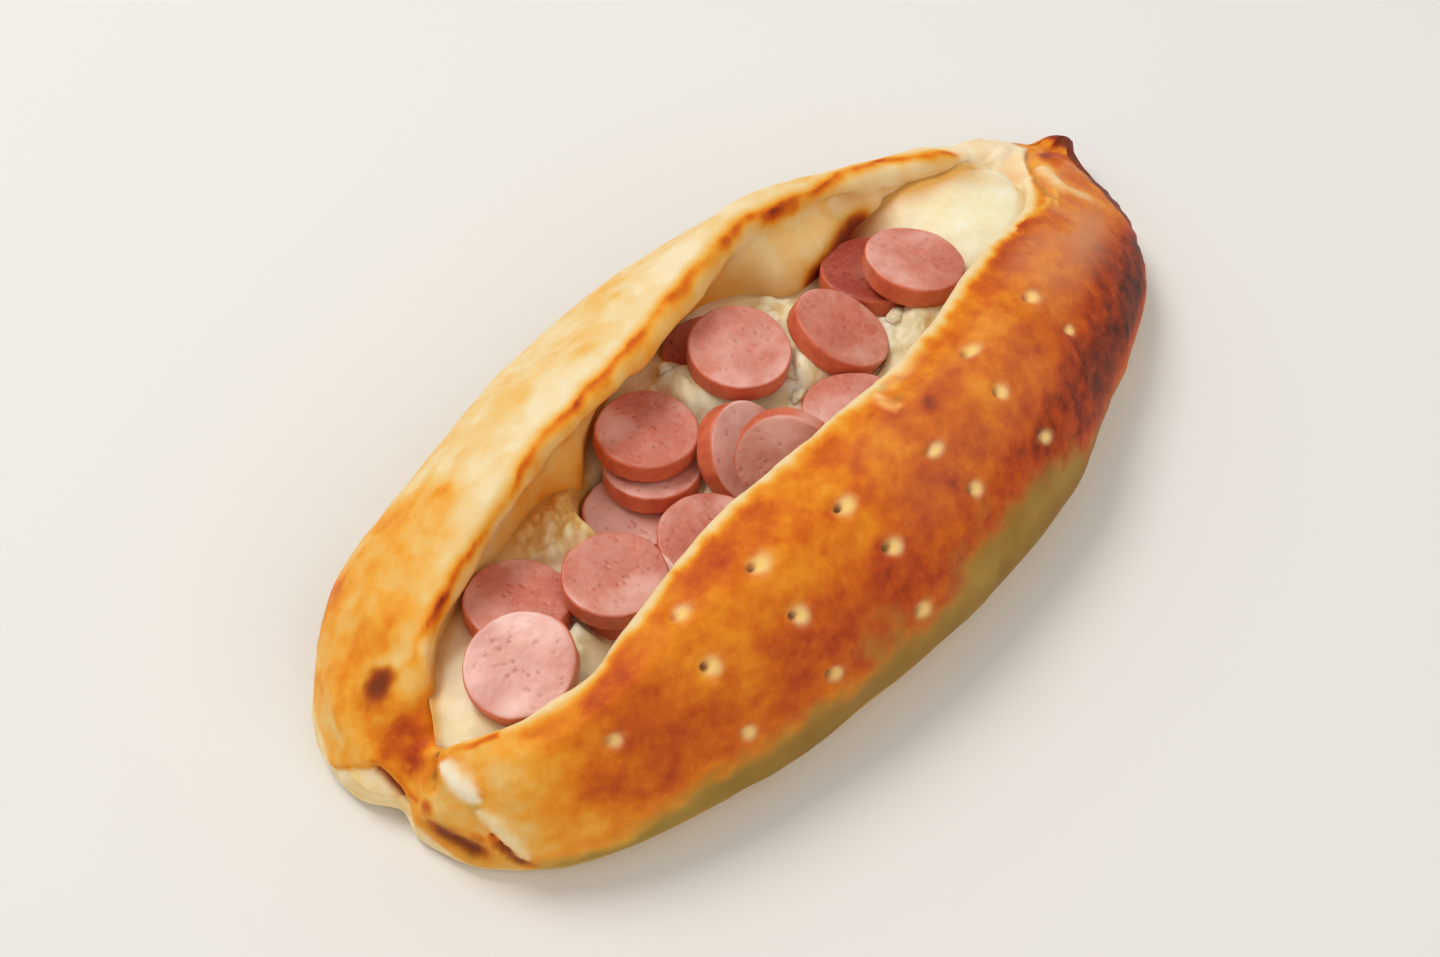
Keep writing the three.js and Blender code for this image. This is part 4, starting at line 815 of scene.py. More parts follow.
def math_(nt, op, a, b=None, c=None, clamp=False):
    n = node(nt, "ShaderNodeMath", operation=op); n.use_clamp = clamp
    for i, x in enumerate((a, b, c)):
        if x is None:
            continue
        if isinstance(x, (int, float)):
            n.inputs[i].default_value = x
        else:
            nt.links.new(x, n.inputs[i])
    return n.outputs[0]


def mix(nt, fac, a, b, blend='MIX'):
    n = node(nt, "ShaderNodeMix", data_type='RGBA', blend_type=blend)
    for s, x in ((0, fac), (6, a), (7, b)):
        if isinstance(x, (int, float)):
            n.inputs[s].default_value = x
        elif isinstance(x, tuple):
            n.inputs[s].default_value = x
        else:
            nt.links.new(x, n.inputs[s])
    return n.outputs[2]


def ramp(nt, fac, stops):
    n = node(nt, "ShaderNodeValToRGB")
    r = n.color_ramp
    while len(r.elements) > 1:
        r.elements.remove(r.elements[-1])
    r.elements[0].position = stops[0][0]; r.elements[0].color = stops[0][1]
    for p, c in stops[1:]:
        e = r.elements.new(p); e.color = c
    nt.links.new(fac, n.inputs[0])
    return n.outputs[0]


def crust_material():
    m, nt, bs = new_material("baked_crust")
    co = node(nt, "ShaderNodeTexCoord").outputs["Object"]
    n_mid = noise_tex(nt, co, 230, 3, 0.5)
    n_fine = noise_tex(nt, co, 900, 3, 0.55)
    n_big = noise_tex(nt, co, 70, 3, 0.55)
    b = attr(nt, "bake")
    d = math_(nt, 'MULTIPLY_ADD', n_mid, 0.34, -0.17)
    d2 = math_(nt, 'MULTIPLY_ADD', n_fine, 0.13, -0.065)
    d3 = math_(nt, 'MULTIPLY_ADD', n_big, 0.26, -0.13)
    amp = math_(nt, 'MULTIPLY_ADD', b, 0.7, 0.35)
    dd = math_(nt, 'MULTIPLY', math_(nt, 'ADD', math_(nt, 'ADD', d, d2), d3), amp)
    level = math_(nt, 'ADD', b, dd, clamp=True)
    col = ramp(nt, level, [
        (0.00, srgb(248, 230, 190)), (0.12, srgb(243, 212, 152)), (0.26, srgb(242, 194, 110)), (0.40, srgb(243, 169, 58)),
        (0.52, srgb(235, 138, 28)), (0.64, srgb(215, 104, 20)), (0.76, srgb(188, 73, 24)), (0.88, srgb(134, 46, 15)), (1.0, srgb(70, 28, 10))])
    # olive: pale dough darkened as painted shade, its green partly a painted reflection
    pale_and_painted_shade = attr(nt, "pale_and_painted_shade")
    col = mix(nt, math_(nt, 'MULTIPLY', pale_and_painted_shade, 0.85), col, ramp(nt, n_big, [(0.3, srgb(134, 112, 44)), (0.7, srgb(168, 142, 66))]))
    # painted sheen
    col = mix(nt, math_(nt, 'MULTIPLY', attr(nt, "painted_sheen"), 0.62), col, srgb(220, 160, 118))
    cr = attr(nt, "cream")
    crm = math_(nt, 'MULTIPLY', cr, math_(nt, 'MULTIPLY_ADD', n_mid, 0.5, 0.72), clamp=True)
    col = mix(nt, crm, col, ramp(nt, n_mid, [(0.3, srgb(248, 216, 150)), (0.7, srgb(254, 236, 196))]))
    # golden pale ring round each docking hole, partly painted highlight
    col = mix(nt, attr(nt, "golden_and_painted_highlight"), col, srgb(253, 210, 122))
    # near-white, partly painted highlight
    col = mix(nt, math_(nt, 'MULTIPLY', attr(nt, "white_and_painted_highlight"), 0.9), col, srgb(253, 240, 218))
    col = mix(nt, attr(nt, "red"), col, srgb(186, 62, 18))
    # dark brown for scorch marks and for painted shade
    sc = math_(nt, 'MULTIPLY', attr(nt, "scorch_and_painted_shade"), math_(nt, 'MULTIPLY_ADD', n_mid, 0.7, 0.62), clamp=True)
    col = mix(nt, sc, col, ramp(nt, n_mid, [(0.35, srgb(84, 36, 22)), (0.7, srgb(128, 60, 28))]))
    nt.links.new(col, bs.inputs["Base Color"])
    ro = math_(nt, 'MULTIPLY_ADD', level, -0.10, 0.62)
    ro = math_(nt, 'ADD', ro, math_(nt, 'MULTIPLY_ADD', n_fine, 0.16, -0.08), clamp=True)
    nt.links.new(ro, bs.inputs["Roughness"])
    bs.inputs["Specular IOR Level"].default_value = 0.13
    bs.inputs["Subsurface Weight"].default_value = 0.12
    bs.inputs["Subsurface Radius"].default_value = (1.0, 0.5, 0.2)
    bs.inputs["Subsurface Scale"].default_value = 0.003
    # skin: fine grain, small blisters
    g1 = noise_tex(nt, co, 520, 5, 0.62)
    g2 = noise_tex(nt, co, 1800, 3, 0.6)
    h = math_(nt, 'ADD', math_(nt, 'MULTIPLY', g1, 0.7), math_(nt, 'MULTIPLY', g2, 0.3))
    bump = node(nt, "ShaderNodeBump"); bump.inputs["Strength"].default_value = 0.45; bump.inputs["Distance"].default_value = 0.00035
    nt.links.new(h, bump.inputs["Height"]); nt.links.new(bump.outputs[0], bs.inputs["Normal"])
    return m


def cheese_material():
    m, nt, bs = new_material("melted_cheese")
    co = node(nt, "ShaderNodeTexCoord").outputs["Object"]
    n1 = noise_tex(nt, co, 120, 4, 0.55)
    n2 = noise_tex(nt, co, 600, 3, 0.55)
    col = ramp(nt, math_(nt, 'MULTIPLY_ADD', n2, 0.35, math_(nt, 'MULTIPLY', n1, 0.65)), [
        (0.25, srgb(242, 226, 172)), (0.5, srgb(252, 242, 206)), (0.72, srgb(255, 250, 230))])
    # green tint of the curds, partly painted shade
    col = mix(nt, math_(nt, 'MULTIPLY', attr(nt, "green_and_painted_shade"), 0.88), col, ramp(nt, n2, [(0.35, srgb(212, 188, 84)), (0.65, srgb(246, 228, 146))]))
    # warm tan: painted shade by the walls and between the curds, with a random warm tone per curd
    w = attr(nt, "warm_and_painted_shade")
    col = mix(nt, w, col, srgb(222, 166, 84))
    # painted shade: red-brown by the left wall near slice 14
    col = mix(nt, attr(nt, "painted_shade_brown"), col, srgb(150, 60, 12))
    nt.links.new(col, bs.inputs["Base Color"])
    nt.links.new(math_(nt, 'MULTIPLY_ADD', attr(nt, "painted_shade_brown"), 0.40, 0.42), bs.inputs["Roughness"])
    bs.inputs["Specular IOR Level"].default_value = 0.30
    bs.inputs["Subsurface Weight"].default_value = 0.5
    bs.inputs["Subsurface Radius"].default_value = (1.0, 0.75, 0.45)
    bs.inputs["Subsurface Scale"].default_value = 0.005
    bump = node(nt, "ShaderNodeBump"); bump.inputs["Strength"].default_value = 0.35; bump.inputs["Distance"].default_value = 0.0004
    nt.links.new(n2, bump.inputs["Height"]); nt.links.new(bump.outputs[0], bs.inputs["Normal"])
    return m


def sausage_material():
    m, nt, bs = new_material("sausage")
    co = node(nt, "ShaderNodeTexCoord").outputs["Object"]
    n1 = noise_tex(nt, co, 240, 4, 0.6)
    n2 = noise_tex(nt, co, 900, 3, 0.6)
    skin = attr(nt, "skin"); pale_tone_and_painted_light = attr(nt, "pale_tone_and_painted_light")
    meat = ramp(nt, math_(nt, 'MULTIPLY_ADD', n2, 0.4, math_(nt, 'MULTIPLY', n1, 0.6)), [
        (0.30, srgb(200, 108, 84)), (0.5, srgb(214, 128, 104)), (0.70, srgb(226, 148, 126))])
    # paler cut face, partly painted light
    light = mix(nt, pale_tone_and_painted_light, meat, srgb(248, 200, 188))
    # dark red, partly painted shade
    dark = mix(nt, attr(nt, "deep_red_and_painted_shade"), light, srgb(160, 50, 30))
    # fat and pepper flecks
    vo = node(nt, "ShaderNodeTexVoronoi"); vo.inputs["Scale"].default_value = 700; nt.links.new(co, vo.inputs["Vector"])
    fleck = math_(nt, 'LESS_THAN', vo.outputs["Distance"], 0.16)
    col = mix(nt, math_(nt, 'MULTIPLY', fleck, 0.18), dark, srgb(240, 190, 176))
    sk = ramp(nt, n1, [(0.3, srgb(200, 88, 58)), (0.7, srgb(226, 124, 84))])
    col = mix(nt, skin, col, sk)
    nt.links.new(col, bs.inputs["Base Color"])
    bs.inputs["Roughness"].default_value = 0.42
    bs.inputs["Subsurface Weight"].default_value = 0.22
    bs.inputs["Subsurface Radius"].default_value = (1.0, 0.35, 0.25)
    bs.inputs["Subsurface Scale"].default_value = 0.002
    bump = node(nt, "ShaderNodeBump"); bump.inputs["Strength"].default_value = 0.4; bump.inputs["Distance"].default_value = 0.0003
    nt.links.new(math_(nt, 'ADD', n2, math_(nt, 'MULTIPLY', n1, 0.6)), bump.inputs["Height"]); nt.links.new(bump.outputs[0], bs.inputs["Normal"])
    return m


M_CRUST = crust_material(); M_CHEESE = cheese_material(); M_SAUSAGE = sausage_material()

dough = make_object("dough_loaf", P1, tri, attrs, M_CRUST)
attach(dough, "root"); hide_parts("dough")

# =====================================================================================
# Slices
# =====================================================================================
SLICES = [
    (-95.87, -13.33, 31.7, -.248, -.082, 11.75, 5.0), (-82.35, 1.3, 26.9, .069, .043, 11.4, 5.0), (-67.1, -12.3, 32.2, .026, .008, 11.4, 5.0),
    (-64.6, -13.1, 26.7, .020, .012, 11.4, 5.0), (-41.6, -15.1, 23.9, -.007, -.003, 11.4, 5.0), (-43.7, 4.8, 17.5, .036, .017, 11.4, 5.0),
    (-34.3, 7.95, 22.7, .080, .031, 11.4, 5.0), (-31.6, 11.8, 28.7, .072, -.035, 11.75, 5.2), (-18.16, -6.5, 23.2, .200, -.758, 12.0, 5.0),
    (-19.8, -18.15, 29.8, -.734, -.512, 11.4, 5.0), (-1.7, 11, 31.8, -.001, -.121, 12.1, 5.2), (21, -.8, 28.65, .349, -.297, 12.4, 5.0),
    (3.65, -17.75, 28.1, 0, .080, 11.6, 5.0), (43, 8.3, 24.2, .112, .046, 11.5, 5.0), (48.3, -.1, 30.1, .193, -.034, 12.3, 5.4),
    (-.8, 20.2, 24.3, .040, .055, 11.5, 5.0)]
# per slice: how pale the cut face is (its own colour, and painted light on slices that lie in shade); how dark red it
# is (its own colour, and painted shade on slices 14 and 16, which lie in shadow)
TONES_AND_PAINTED_LIGHT = {1: (0.72, 0), 2: (0.12, 0.16), 3: (0.32, 0), 4: (0.6, 0), 5: (0.16, 0), 6: (1.0, 0), 7: (0.2, 0.1), 8: (0.12, 0.14), 9: (0.85, 0), 10: (0.62, 0), 11: (0.30, 0), 12: (0.0, 0.05), 13: (0.22, 0), 14: (0, 0.75), 15: (0.1, 0), 16: (0, 0.6)}


def slice_frame(k):
    x, y, z, nx, ny, r, t = SLICES[k]
    n = np.array([nx, ny, math.sqrt(1 - nx * nx - ny * ny)])
    q = Vector((0, 0, 1)).rotation_difference(Vector(n))
    R = np.array(q.to_matrix())
    return np.array([x, y, z]), R, r, t, n


def make_slice(k):
    c, R, r, t, n = slice_frame(k)
    rng = np.random.default_rng(700 + k)
    seg = 132
    a = np.arange(seg) / seg * 2 * np.pi
    w = 1 + 0.013 * np.cos(2 * a + 1.7 * k) + 0.010 * np.cos(3 * a + 2.3 * k) + 0.007 * np.cos(4 * a + 3.1 * k) + 0.005 * np.cos(7 * a + 3 * k) - 0.010
    b = 0.75
    prof = []   # (fraction of radius or absolute, z, skin)
    for q in np.linspace(0.0, 1.0, 25)[1:-1]:
        prof.append((q * (r - b), 0.0))
    for q in np.linspace(0, 1, 6):
        an = q * math.pi / 2
        prof.append((r - b + b * math.sin(an), -b + b * math.cos(an)))
    for q in np.linspace(0, 1, 8)[1:-1]:
        prof.append((r, -b - (t - 2 * b) * q))
    for q in np.linspace(0, 1, 5):
        an = q * math.pi / 2
        prof.append((r - b + b * math.cos(an), -t + b - b * math.sin(an)))
    for q in (0.8, 0.5, 0.2):
        prof.append(((r - b) * q, -t))
    prof = np.array(prof)
    rr = prof[:, 0:1] * w[None, :]; zz = np.repeat(prof[:, 1:2], seg, 1)
    V = np.stack([rr * np.cos(a), rr * np.sin(a), zz], -1).reshape(-1, 3)
    V = np.concatenate([V, [[0, 0, 0]], [[0, 0, -t]]])
    m = len(prof); T = []
    j = np.arange(seg); jn = (j + 1) % seg
    T.append(np.stack([np.full(seg, m * seg), j, jn], 1))
    for i in range(m - 1):
        A = i * seg + j; B = i * seg + jn; C_ = A + seg; D_ = B + seg
        T.append(np.stack([A, C_, D_], 1)); T.append(np.stack([A, D_, B], 1))
    last = (m - 1) * seg
    T.append(np.stack([np.full(seg, m * seg + 1), last + jn, last + j], 1))
    T = np.concatenate(T)
    rad = np.hypot(V[:, 0], V[:, 1])
    top = smooth(-1.0, -0.2, V[:, 2]); side = smooth(r - 1.0, r - 0.2, rad)
    Q = V + np.array([37.0 * k, 11.0 * k, 0])
    # the cut face: a little dished or crowned, with pores and torn flecks
    face = top * (1 - smooth(r - 1.6, r - 0.4, rad))
    V[:, 2] += face * (0.16 * noise(Q, 7, 401) + 0.07 * noise(Q, 2.2, 402) + 0.04 * noise(Q, 1.0, 403)) - face * 0.18 * (1 - (rad / r) ** 2)
    pores = np.zeros(len(V))
    for _ in range(26):
        pr = (r - 1.2) * math.sqrt(rng.random()); pa = rng.random() * 2 * math.pi
        d = np.hypot(V[:, 0] - pr * math.cos(pa), V[:, 1] - pr * math.sin(pa)) / (0.22 + 0.22 * rng.random())
        pores = np.maximum(pores, np.exp(-d ** 2) * top)
    V[:, 2] -= 0.28 * pores
    # the skin: lengthwise wrinkles
    u = V[:, :2] / (rad[:, None] + 1e-9)
    ang = np.arctan2(V[:, 1], V[:, 0])
    wr = noise(np.stack([np.cos(ang) * r, np.sin(ang) * r, V[:, 2] * 0.35 + 50 * k], 1), 1.6, 411)
    V[:, :2] += u * (side * 0.10 * wr)[:, None]
    skin = np.maximum(smooth(r - 0.65, r - 0.2, rad), 0) * (1 - smooth(-0.25, 0.05, V[:, 2] - 0.0) * 0.6)
    pale_tone_and_painted_light, deep_red_and_painted_shade = TONES_AND_PAINTED_LIGHT[k + 1]
    mott = 0.5 * noise(Q, 4.5, 421) + 0.4 * noise(Q, 1.8, 422)
    broad = noise(Q, 7.5, 423)
    tn = np.clip(pale_tone_and_painted_light + (0.34 * mott + 0.36 * broad) * top, 0, 1); dp = np.clip(deep_red_and_painted_shade + 0.16 * mott - 0.22 * broad + 0.45 * pores, 0, 1)
    if k == 13:
        V[:, 0] = V[:, 0] * 1.10 + 0.9; V[:, 1] = V[:, 1] * 1.08 + 0.6
    W = V @ R.T + c
    ob = make_object("sausage_%02d" % (k + 1), W, T, dict(skin=skin, pale_tone_and_painted_light=tn, deep_red_and_painted_shade=dp), M_SAUSAGE)
    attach(ob, "root"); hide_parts("slice_%02d" % (k + 1))
    return ob


for k in range(len(SLICES)):
    make_slice(k)

# =====================================================================================
# Cheese
# =====================================================================================
CHEESE = np.array([
    [-118, 20.5], [-110, 23], [-100, 23.5], [-90, 22], [-75, 20.5], [-60, 20.5], [-45, 19], [-30, 19.5], [-15, 21], [0, 21], [12, 21.5],
    [30, 20.5], [42, 21], [55, 22.5], [65, 25], [76, 26], [86, 24.5], [93, 22]], float)
LUMPS = [(-57, 9, 3.6, 7), (-14, 15.5, 5.6, 6.2), (13, -5, 4, 4.5), (8, 1.0, 5.5, 4.5), (40, -9, 4.2, 6), (76, 5, 1.6, 9), (53, 15, -2.6, 5.5), (-103, -12, 1.4, 8), (-4, -2, 1.4, 5), (30, 12, -2, 8), (-77, -12, 4.2, 5), (20, 15, 3.6, 5)]


def cheese_height(x, y):
    z = pchip(CHEESE[:, 0], CHEESE[:, 1], x)
    for cx, cy, up, s in LUMPS:
        z = z + up * gauss(x, cx, s) * gauss(y, cy, s)
    return z + 0.5 * np.sin(x * 0.31 + 1.3 * np.sin(y * 0.23)) * np.cos(y * 0.37 + 0.7 * np.sin(x * 0.17))


def slice_under(x, y, grow):
    """height of the lowest slice bottom over (x, y), and how near its rim"""
    low = np.full(len(x), 1e3); cover = np.zeros(len(x))
    for k in range(len(SLICES)):
        c, R, r, t, n = slice_frame(k)
        b = c - n * t
        # distance to the disc's axis, measured in its own plane, at the height of its bottom
        z = b[2] - (n[0] * (x - b[0]) + n[1] * (y - b[1])) / n[2]
        D = np.stack([x - b[0], y - b[1], z - b[2]], 1)
        d = np.linalg.norm(D, axis=1)
        m = d < r + grow
        if k == 15:
            m &= x > -8.5
        zz = z + 0.25 * np.clip(d - r, 0, 9)
        low = np.where(m, np.minimum(low, zz), low)
        cover = np.maximum(cover, np.exp(-np.clip(d - r, 0, 9) ** 2 / 1.5))
    return low, cover


def cheese_piece():
    """the walls of the hollow at the cheese's height along x, between which the skin of cheese is laid; the skin
    itself, dipping under every slice and closed below, is built after
    """
    xs = np.arange(-117.5, 94.6, 0.5)
    vr = np.linspace(12.2, 18.5, 160); vl = np.linspace(18.5, 25.0, 160)
    rows = []
    nacross = 96
    lo_y, hi_y = [], []
    for x in xs:
        thx = theta([x])[0]
        pr = surf(np.full(160, thx), vr); pl = surf(np.full(160, thx), vl)
        z = pchip(CHEESE[:, 0], CHEESE[:, 1], np.array([x]))[0]
        # right wall: largest y at this height among undercut points
        def cross(p, pick):
            s = p[:, 2] - z
            hit = np.nonzero(s[:-1] * s[1:] <= 0)[0]
            if not len(hit):
                return None
            ys = [p[h, 1] + (p[h + 1, 1] - p[h, 1]) * (s[h] / (s[h] - s[h + 1] + 1e-12)) for h in hit]
            return pick(ys)
        a = cross(pr, max); b = cross(pl, min)
        lo_y.append(np.nan if a is None else a); hi_y.append(np.nan if b is None else b)
    lo_y = np.array(lo_y); hi_y = np.array(hi_y)
    ok = ~np.isnan(lo_y) & ~np.isnan(hi_y)
    ok &= ((hi_y - lo_y) > 2.5) & (xs > -115.2) & (xs < 92.2)
    xs, lo_y, hi_y = xs[ok], lo_y[ok], hi_y[ok]
    return xs, lo_y, hi_y, nacross


xs, lo_y, hi_y, nac = cheese_piece()
reach = 0.25 + 1.35 * smooth(-114, -106, xs) * (1 - smooth(84, 91, xs))
s = np.linspace(0, 1, nac)
GX = np.repeat(xs[:, None], nac, 1)
GY = (lo_y - reach)[:, None] + (hi_y - lo_y + 2 * reach)[:, None] * s[None, :]
gx, gy = GX.ravel(), GY.ravel()
G0 = np.stack([gx, gy, 0 * gx], 1)
hz = cheese_height(gx, gy)
edge = np.minimum(gy - (np.repeat(lo_y[:, None], nac, 1)).ravel(), (np.repeat(hi_y[:, None], nac, 1)).ravel() - gy)
curdy = np.zeros(len(gx))
for cx, cy, sx, sy, a in ((-57, 10, 8, 6, 1.0), (-14, 17, 6, 7, 0.75), (14, -6, 7, 7, 0.6), (38, -10, 8, 6, 0.8), (-36, -6, 10, 6, 0.5), (4, 0, 8, 6, 0.6), (-77, -12, 5, 6, 0.4), (20, 15, 5, 7, 0.7)):
    curdy = np.maximum(curdy, a * gauss(gx, cx, sx) * gauss(gy, cy, sy))
hz = hz + 0.35 * fbm(G0, 7, 501, 3) + curdy * (1.5 * np.abs(noise(G0, 3.6, 511)) + 1.0 * np.abs(noise(G0, 1.9, 512)) + 0.4 * noise(G0, 1.1, 513))
GS = np.stack([0.66 * gx - 0.75 * gy, 0.45 * (0.75 * gx + 0.66 * gy), 0 * gx], 1)      # streaks running up the picture
# the patch by the left wall around x -57: streaked relief, and colour below that is partly painted shade
near_a = gauss(gx, -57, 8.5) * gauss(gy, 9, 7.5)
streak = noise(GS, 1.7, 516); streak2 = noise(GS, 0.9, 517)
hz = hz + near_a * (0.75 * streak + 0.45 * streak2 + 0.25 * noise(G0, 0.8, 518))
# crumbs and curds: overlapping low domes with creases between them
CRUMBS = [   # x, y, spread x, spread y, how many, smallest, largest
    (-57.5, 9.0, 5.6, 4.2, 150, 0.7, 1.7), (-50.5, 14.0, 2.6, 2.0, 20, 0.7, 1.5), (-14.5, 15.5, 3.6, 4.6, 46, 1.0, 2.6), (7.0, -0.5, 5.0, 3.4, 44, 0.9, 2.4),
    (38.5, -8.0, 4.2, 3.6, 50, 0.9, 2.5), (45.5, -13.5, 3.4, 2.4, 30, 0.9, 2.2), (-76.5, -12.0, 3.2, 4.0, 22, 1.0, 2.4), (20.5, 15.0, 3.0, 4.4, 36, 0.9, 2.2),
    (-36.0, -6.0, 4.0, 3.0, 20, 0.9, 2.0), (-101.0, -16.0, 4.0, 4.0, 10, 1.2, 2.8)]
rng_c = np.random.default_rng(5150)
wx = gx + 0.35 * noise(G0, 1.3, 531); wy = gy + 0.35 * noise(G0, 1.3, 532)
domes = np.zeros(len(gx)); dome_tone = np.zeros(len(gx))
for cx, cy, sx, sy, n_c, r0, r1 in CRUMBS:
    for _ in range(n_c):
        x = cx + sx * rng_c.normal(); y = cy + sy * rng_c.normal(); r = r0 + (r1 - r0) * rng_c.random() ** 1.6
        an = rng_c.random() * 3.14159; long_ = 1.0 + 0.6 * rng_c.random(); up_c = r * (0.45 + 0.35 * rng_c.random()); tone_c = rng_c.random()
        near_c = np.nonzero((np.abs(gx - x) < 2 * r * long_) & (np.abs(gy - y) < 2 * r * long_))[0]
        if not len(near_c):
            continue
        u = (wx[near_c] - x) * math.cos(an) + (wy[near_c] - y) * math.sin(an); w_ = -(wx[near_c] - x) * math.sin(an) + (wy[near_c] - y) * math.cos(an)
        hh_ = up_c * np.sqrt(np.clip(1 - (u / (r * long_)) ** 2 - (w_ / r) ** 2, 0, 1))
        better = hh_ > domes[near_c]
        domes[near_c] = np.where(better, hh_, domes[near_c]); dome_tone[near_c] = np.where(better, tone_c, dome_tone[near_c])
hz = hz + domes * smooth(0.2, 1.6, edge)
# painted shade in the creases between the curds
curd_crease_shade = np.zeros(len(gx))
for cx, cy, sx, sy, n_c, r0, r1 in CRUMBS:
    curd_crease_shade = np.maximum(curd_crease_shade, gauss(gx, cx, 1.5 * sx) * gauss(gy, cy, 1.5 * sy))
curd_crease_shade *= np.exp(-(domes / 0.45) ** 2)
hz = hz - 0.5 * gauss(edge, 1.2, 0.9)          # a soft line where it meets the crust
low, cover = slice_under(gx, gy, 1.0)
cap = np.minimum(hz, low + 0.35).reshape(len(xs), nac)
for _ in range(8):
    cap[1:-1, 1:-1] = (cap[1:-1, 1:-1] * 2 + cap[:-2, 1:-1] + cap[2:, 1:-1] + cap[1:-1, :-2] + cap[1:-1, 2:]) / 6
soft = smooth(0.0, 1.2, np.abs(cap.ravel() - hz))
hz = np.minimum(np.where(low < 500, cap.ravel(), hz + (cap.ravel() - hz) * soft), low + 0.35)
top = np.stack([gx, gy, hz], 1)
nx_ = len(xs)
bottom = top.copy(); fl = pchip(MOUTH[:, 0], MOUTH[:, 5], gx); bottom[:, 2] = np.minimum(hz - 1.0, fl + 3)
I = np.arange(nx_ * nac).reshape(nx_, nac)
Tt = np.concatenate([np.stack([I[:-1, :-1].ravel(), I[1:, :-1].ravel(), I[1:, 1:].ravel()], 1), np.stack([I[:-1, :-1].ravel(), I[1:, 1:].ravel(), I[:-1, 1:].ravel()], 1)])
off = nx_ * nac
# the underside is coarse: only its rim is joined
ring = np.concatenate([I[0, :], I[1:, -1], I[-1, :-1][::-1], I[1:-1, 0][::-1]])
Bp = top[ring].copy(); Bp[:, 2] = np.minimum(Bp[:, 2] - 1.0, fl[ring] + 2.0)
# the lower rim of the two end walls is a slight arch, so the fans that close it have an area
Bp[:, 2] += 0.5 * np.isin(ring // nac, (0, nx_ - 1)) * np.sin(np.pi * (ring % nac) / (nac - 1))
Bc = np.array([[top[:, 0].mean(), top[:, 1].mean(), 8.0]])
V = np.concatenate([top, Bp])
nr = len(ring); rj = np.arange(nr); rk = (rj + 1) % nr
Ts = np.concatenate([np.stack([ring[rj], off + rk, off + rj], 1), np.stack([ring[rj], ring[rk], off + rk], 1)])
# floor strip: join rim points of the two long sides across
bm_idx = {int(g): off + i for i, g in enumerate(ring)}
Tb = []
for i in range(nx_ - 1):
    a, b, c_, d_ = bm_idx[int(I[i, 0])], bm_idx[int(I[i + 1, 0])], bm_idx[int(I[i + 1, -1])], bm_idx[int(I[i, -1])]
    Tb += [[a, d_, c_], [a, c_, b]]
# end fans
Tb = np.array(Tb)
def fan(row):
    idx = [bm_idx[int(g)] for g in row]
    return [[idx[0], idx[j], idx[j + 1]] for j in range(1, len(idx) - 1)]
Te = np.array(fan(I[0, :]) + [t[::-1] for t in fan(I[-1, :])])
T = np.concatenate([Tt, Ts, Tb, Te])
left_edge = (np.repeat(hi_y[:, None], nac, 1)).ravel() - gy
# warm_and_painted_shade: painted shade along the walls, by the left wall around x -57 and in the creases, and a random
# warm tone per curd
warm_and_painted_shade = np.clip(0.5 * gauss(edge, 0.0, 1.3) + 0.75 * gauss(left_edge, 0.0, 4.2) * smooth(30, 44, gx) * (1 - smooth(80, 90, gx)) + 0.45 * gauss(left_edge, 0.0, 4.6) * (1 - smooth(-90, -80, gx)) + 0.58 * gauss(left_edge, 0.0, 7.0) * smooth(60, 72, gx) * (1 - smooth(86, 93, gx)) + 0.65 * gauss(left_edge, 0.0, 6.0) * gauss(gx, -60, 14) + near_a * (0.42 - 0.40 * streak - 0.25 * streak2) + 0.45 * curd_crease_shade + 0.18 * (dome_tone - 0.5) * (domes > 0), 0, 1)
warm_and_painted_shade = np.concatenate([warm_and_painted_shade, np.zeros(nr)])
nn = vertex_normals(V, T)
if nn[:off, 2].mean() < 0:
    T = T[:, ::-1]
SINGLE = [(10.8, 1.9, 2.4, 0.1), (4.3, 0.0, 1.9, 0.3), (1.5, -3.8, 1.7, 0.3), (35.3, -5.0, 1.9, 0.2), (-13.2, 21.5, 2.1, 0.4)]
BALLS = {}
for level in (2, 3):
    bm = bmesh.new(); bmesh.ops.create_icosphere(bm, subdivisions=level, radius=1.0); bm.verts.index_update()
    BALLS[level] = (np.array([q.co[:] for q in bm.verts]), np.array([[q.index for q in f.verts] for f in bm.faces]))
    bm.free()


def clear_of_slices(c, r, allowed):
    for k in range(len(SLICES)):
        if k + 1 == allowed:
            continue
        c0, R, rr, t, n = slice_frame(k)
        q = (c - c0) @ R
        if math.hypot(q[0], q[1]) < rr + 0.75 * r and -t - 0.7 * r < q[2] < 0.8 * r:
            return False
    return True


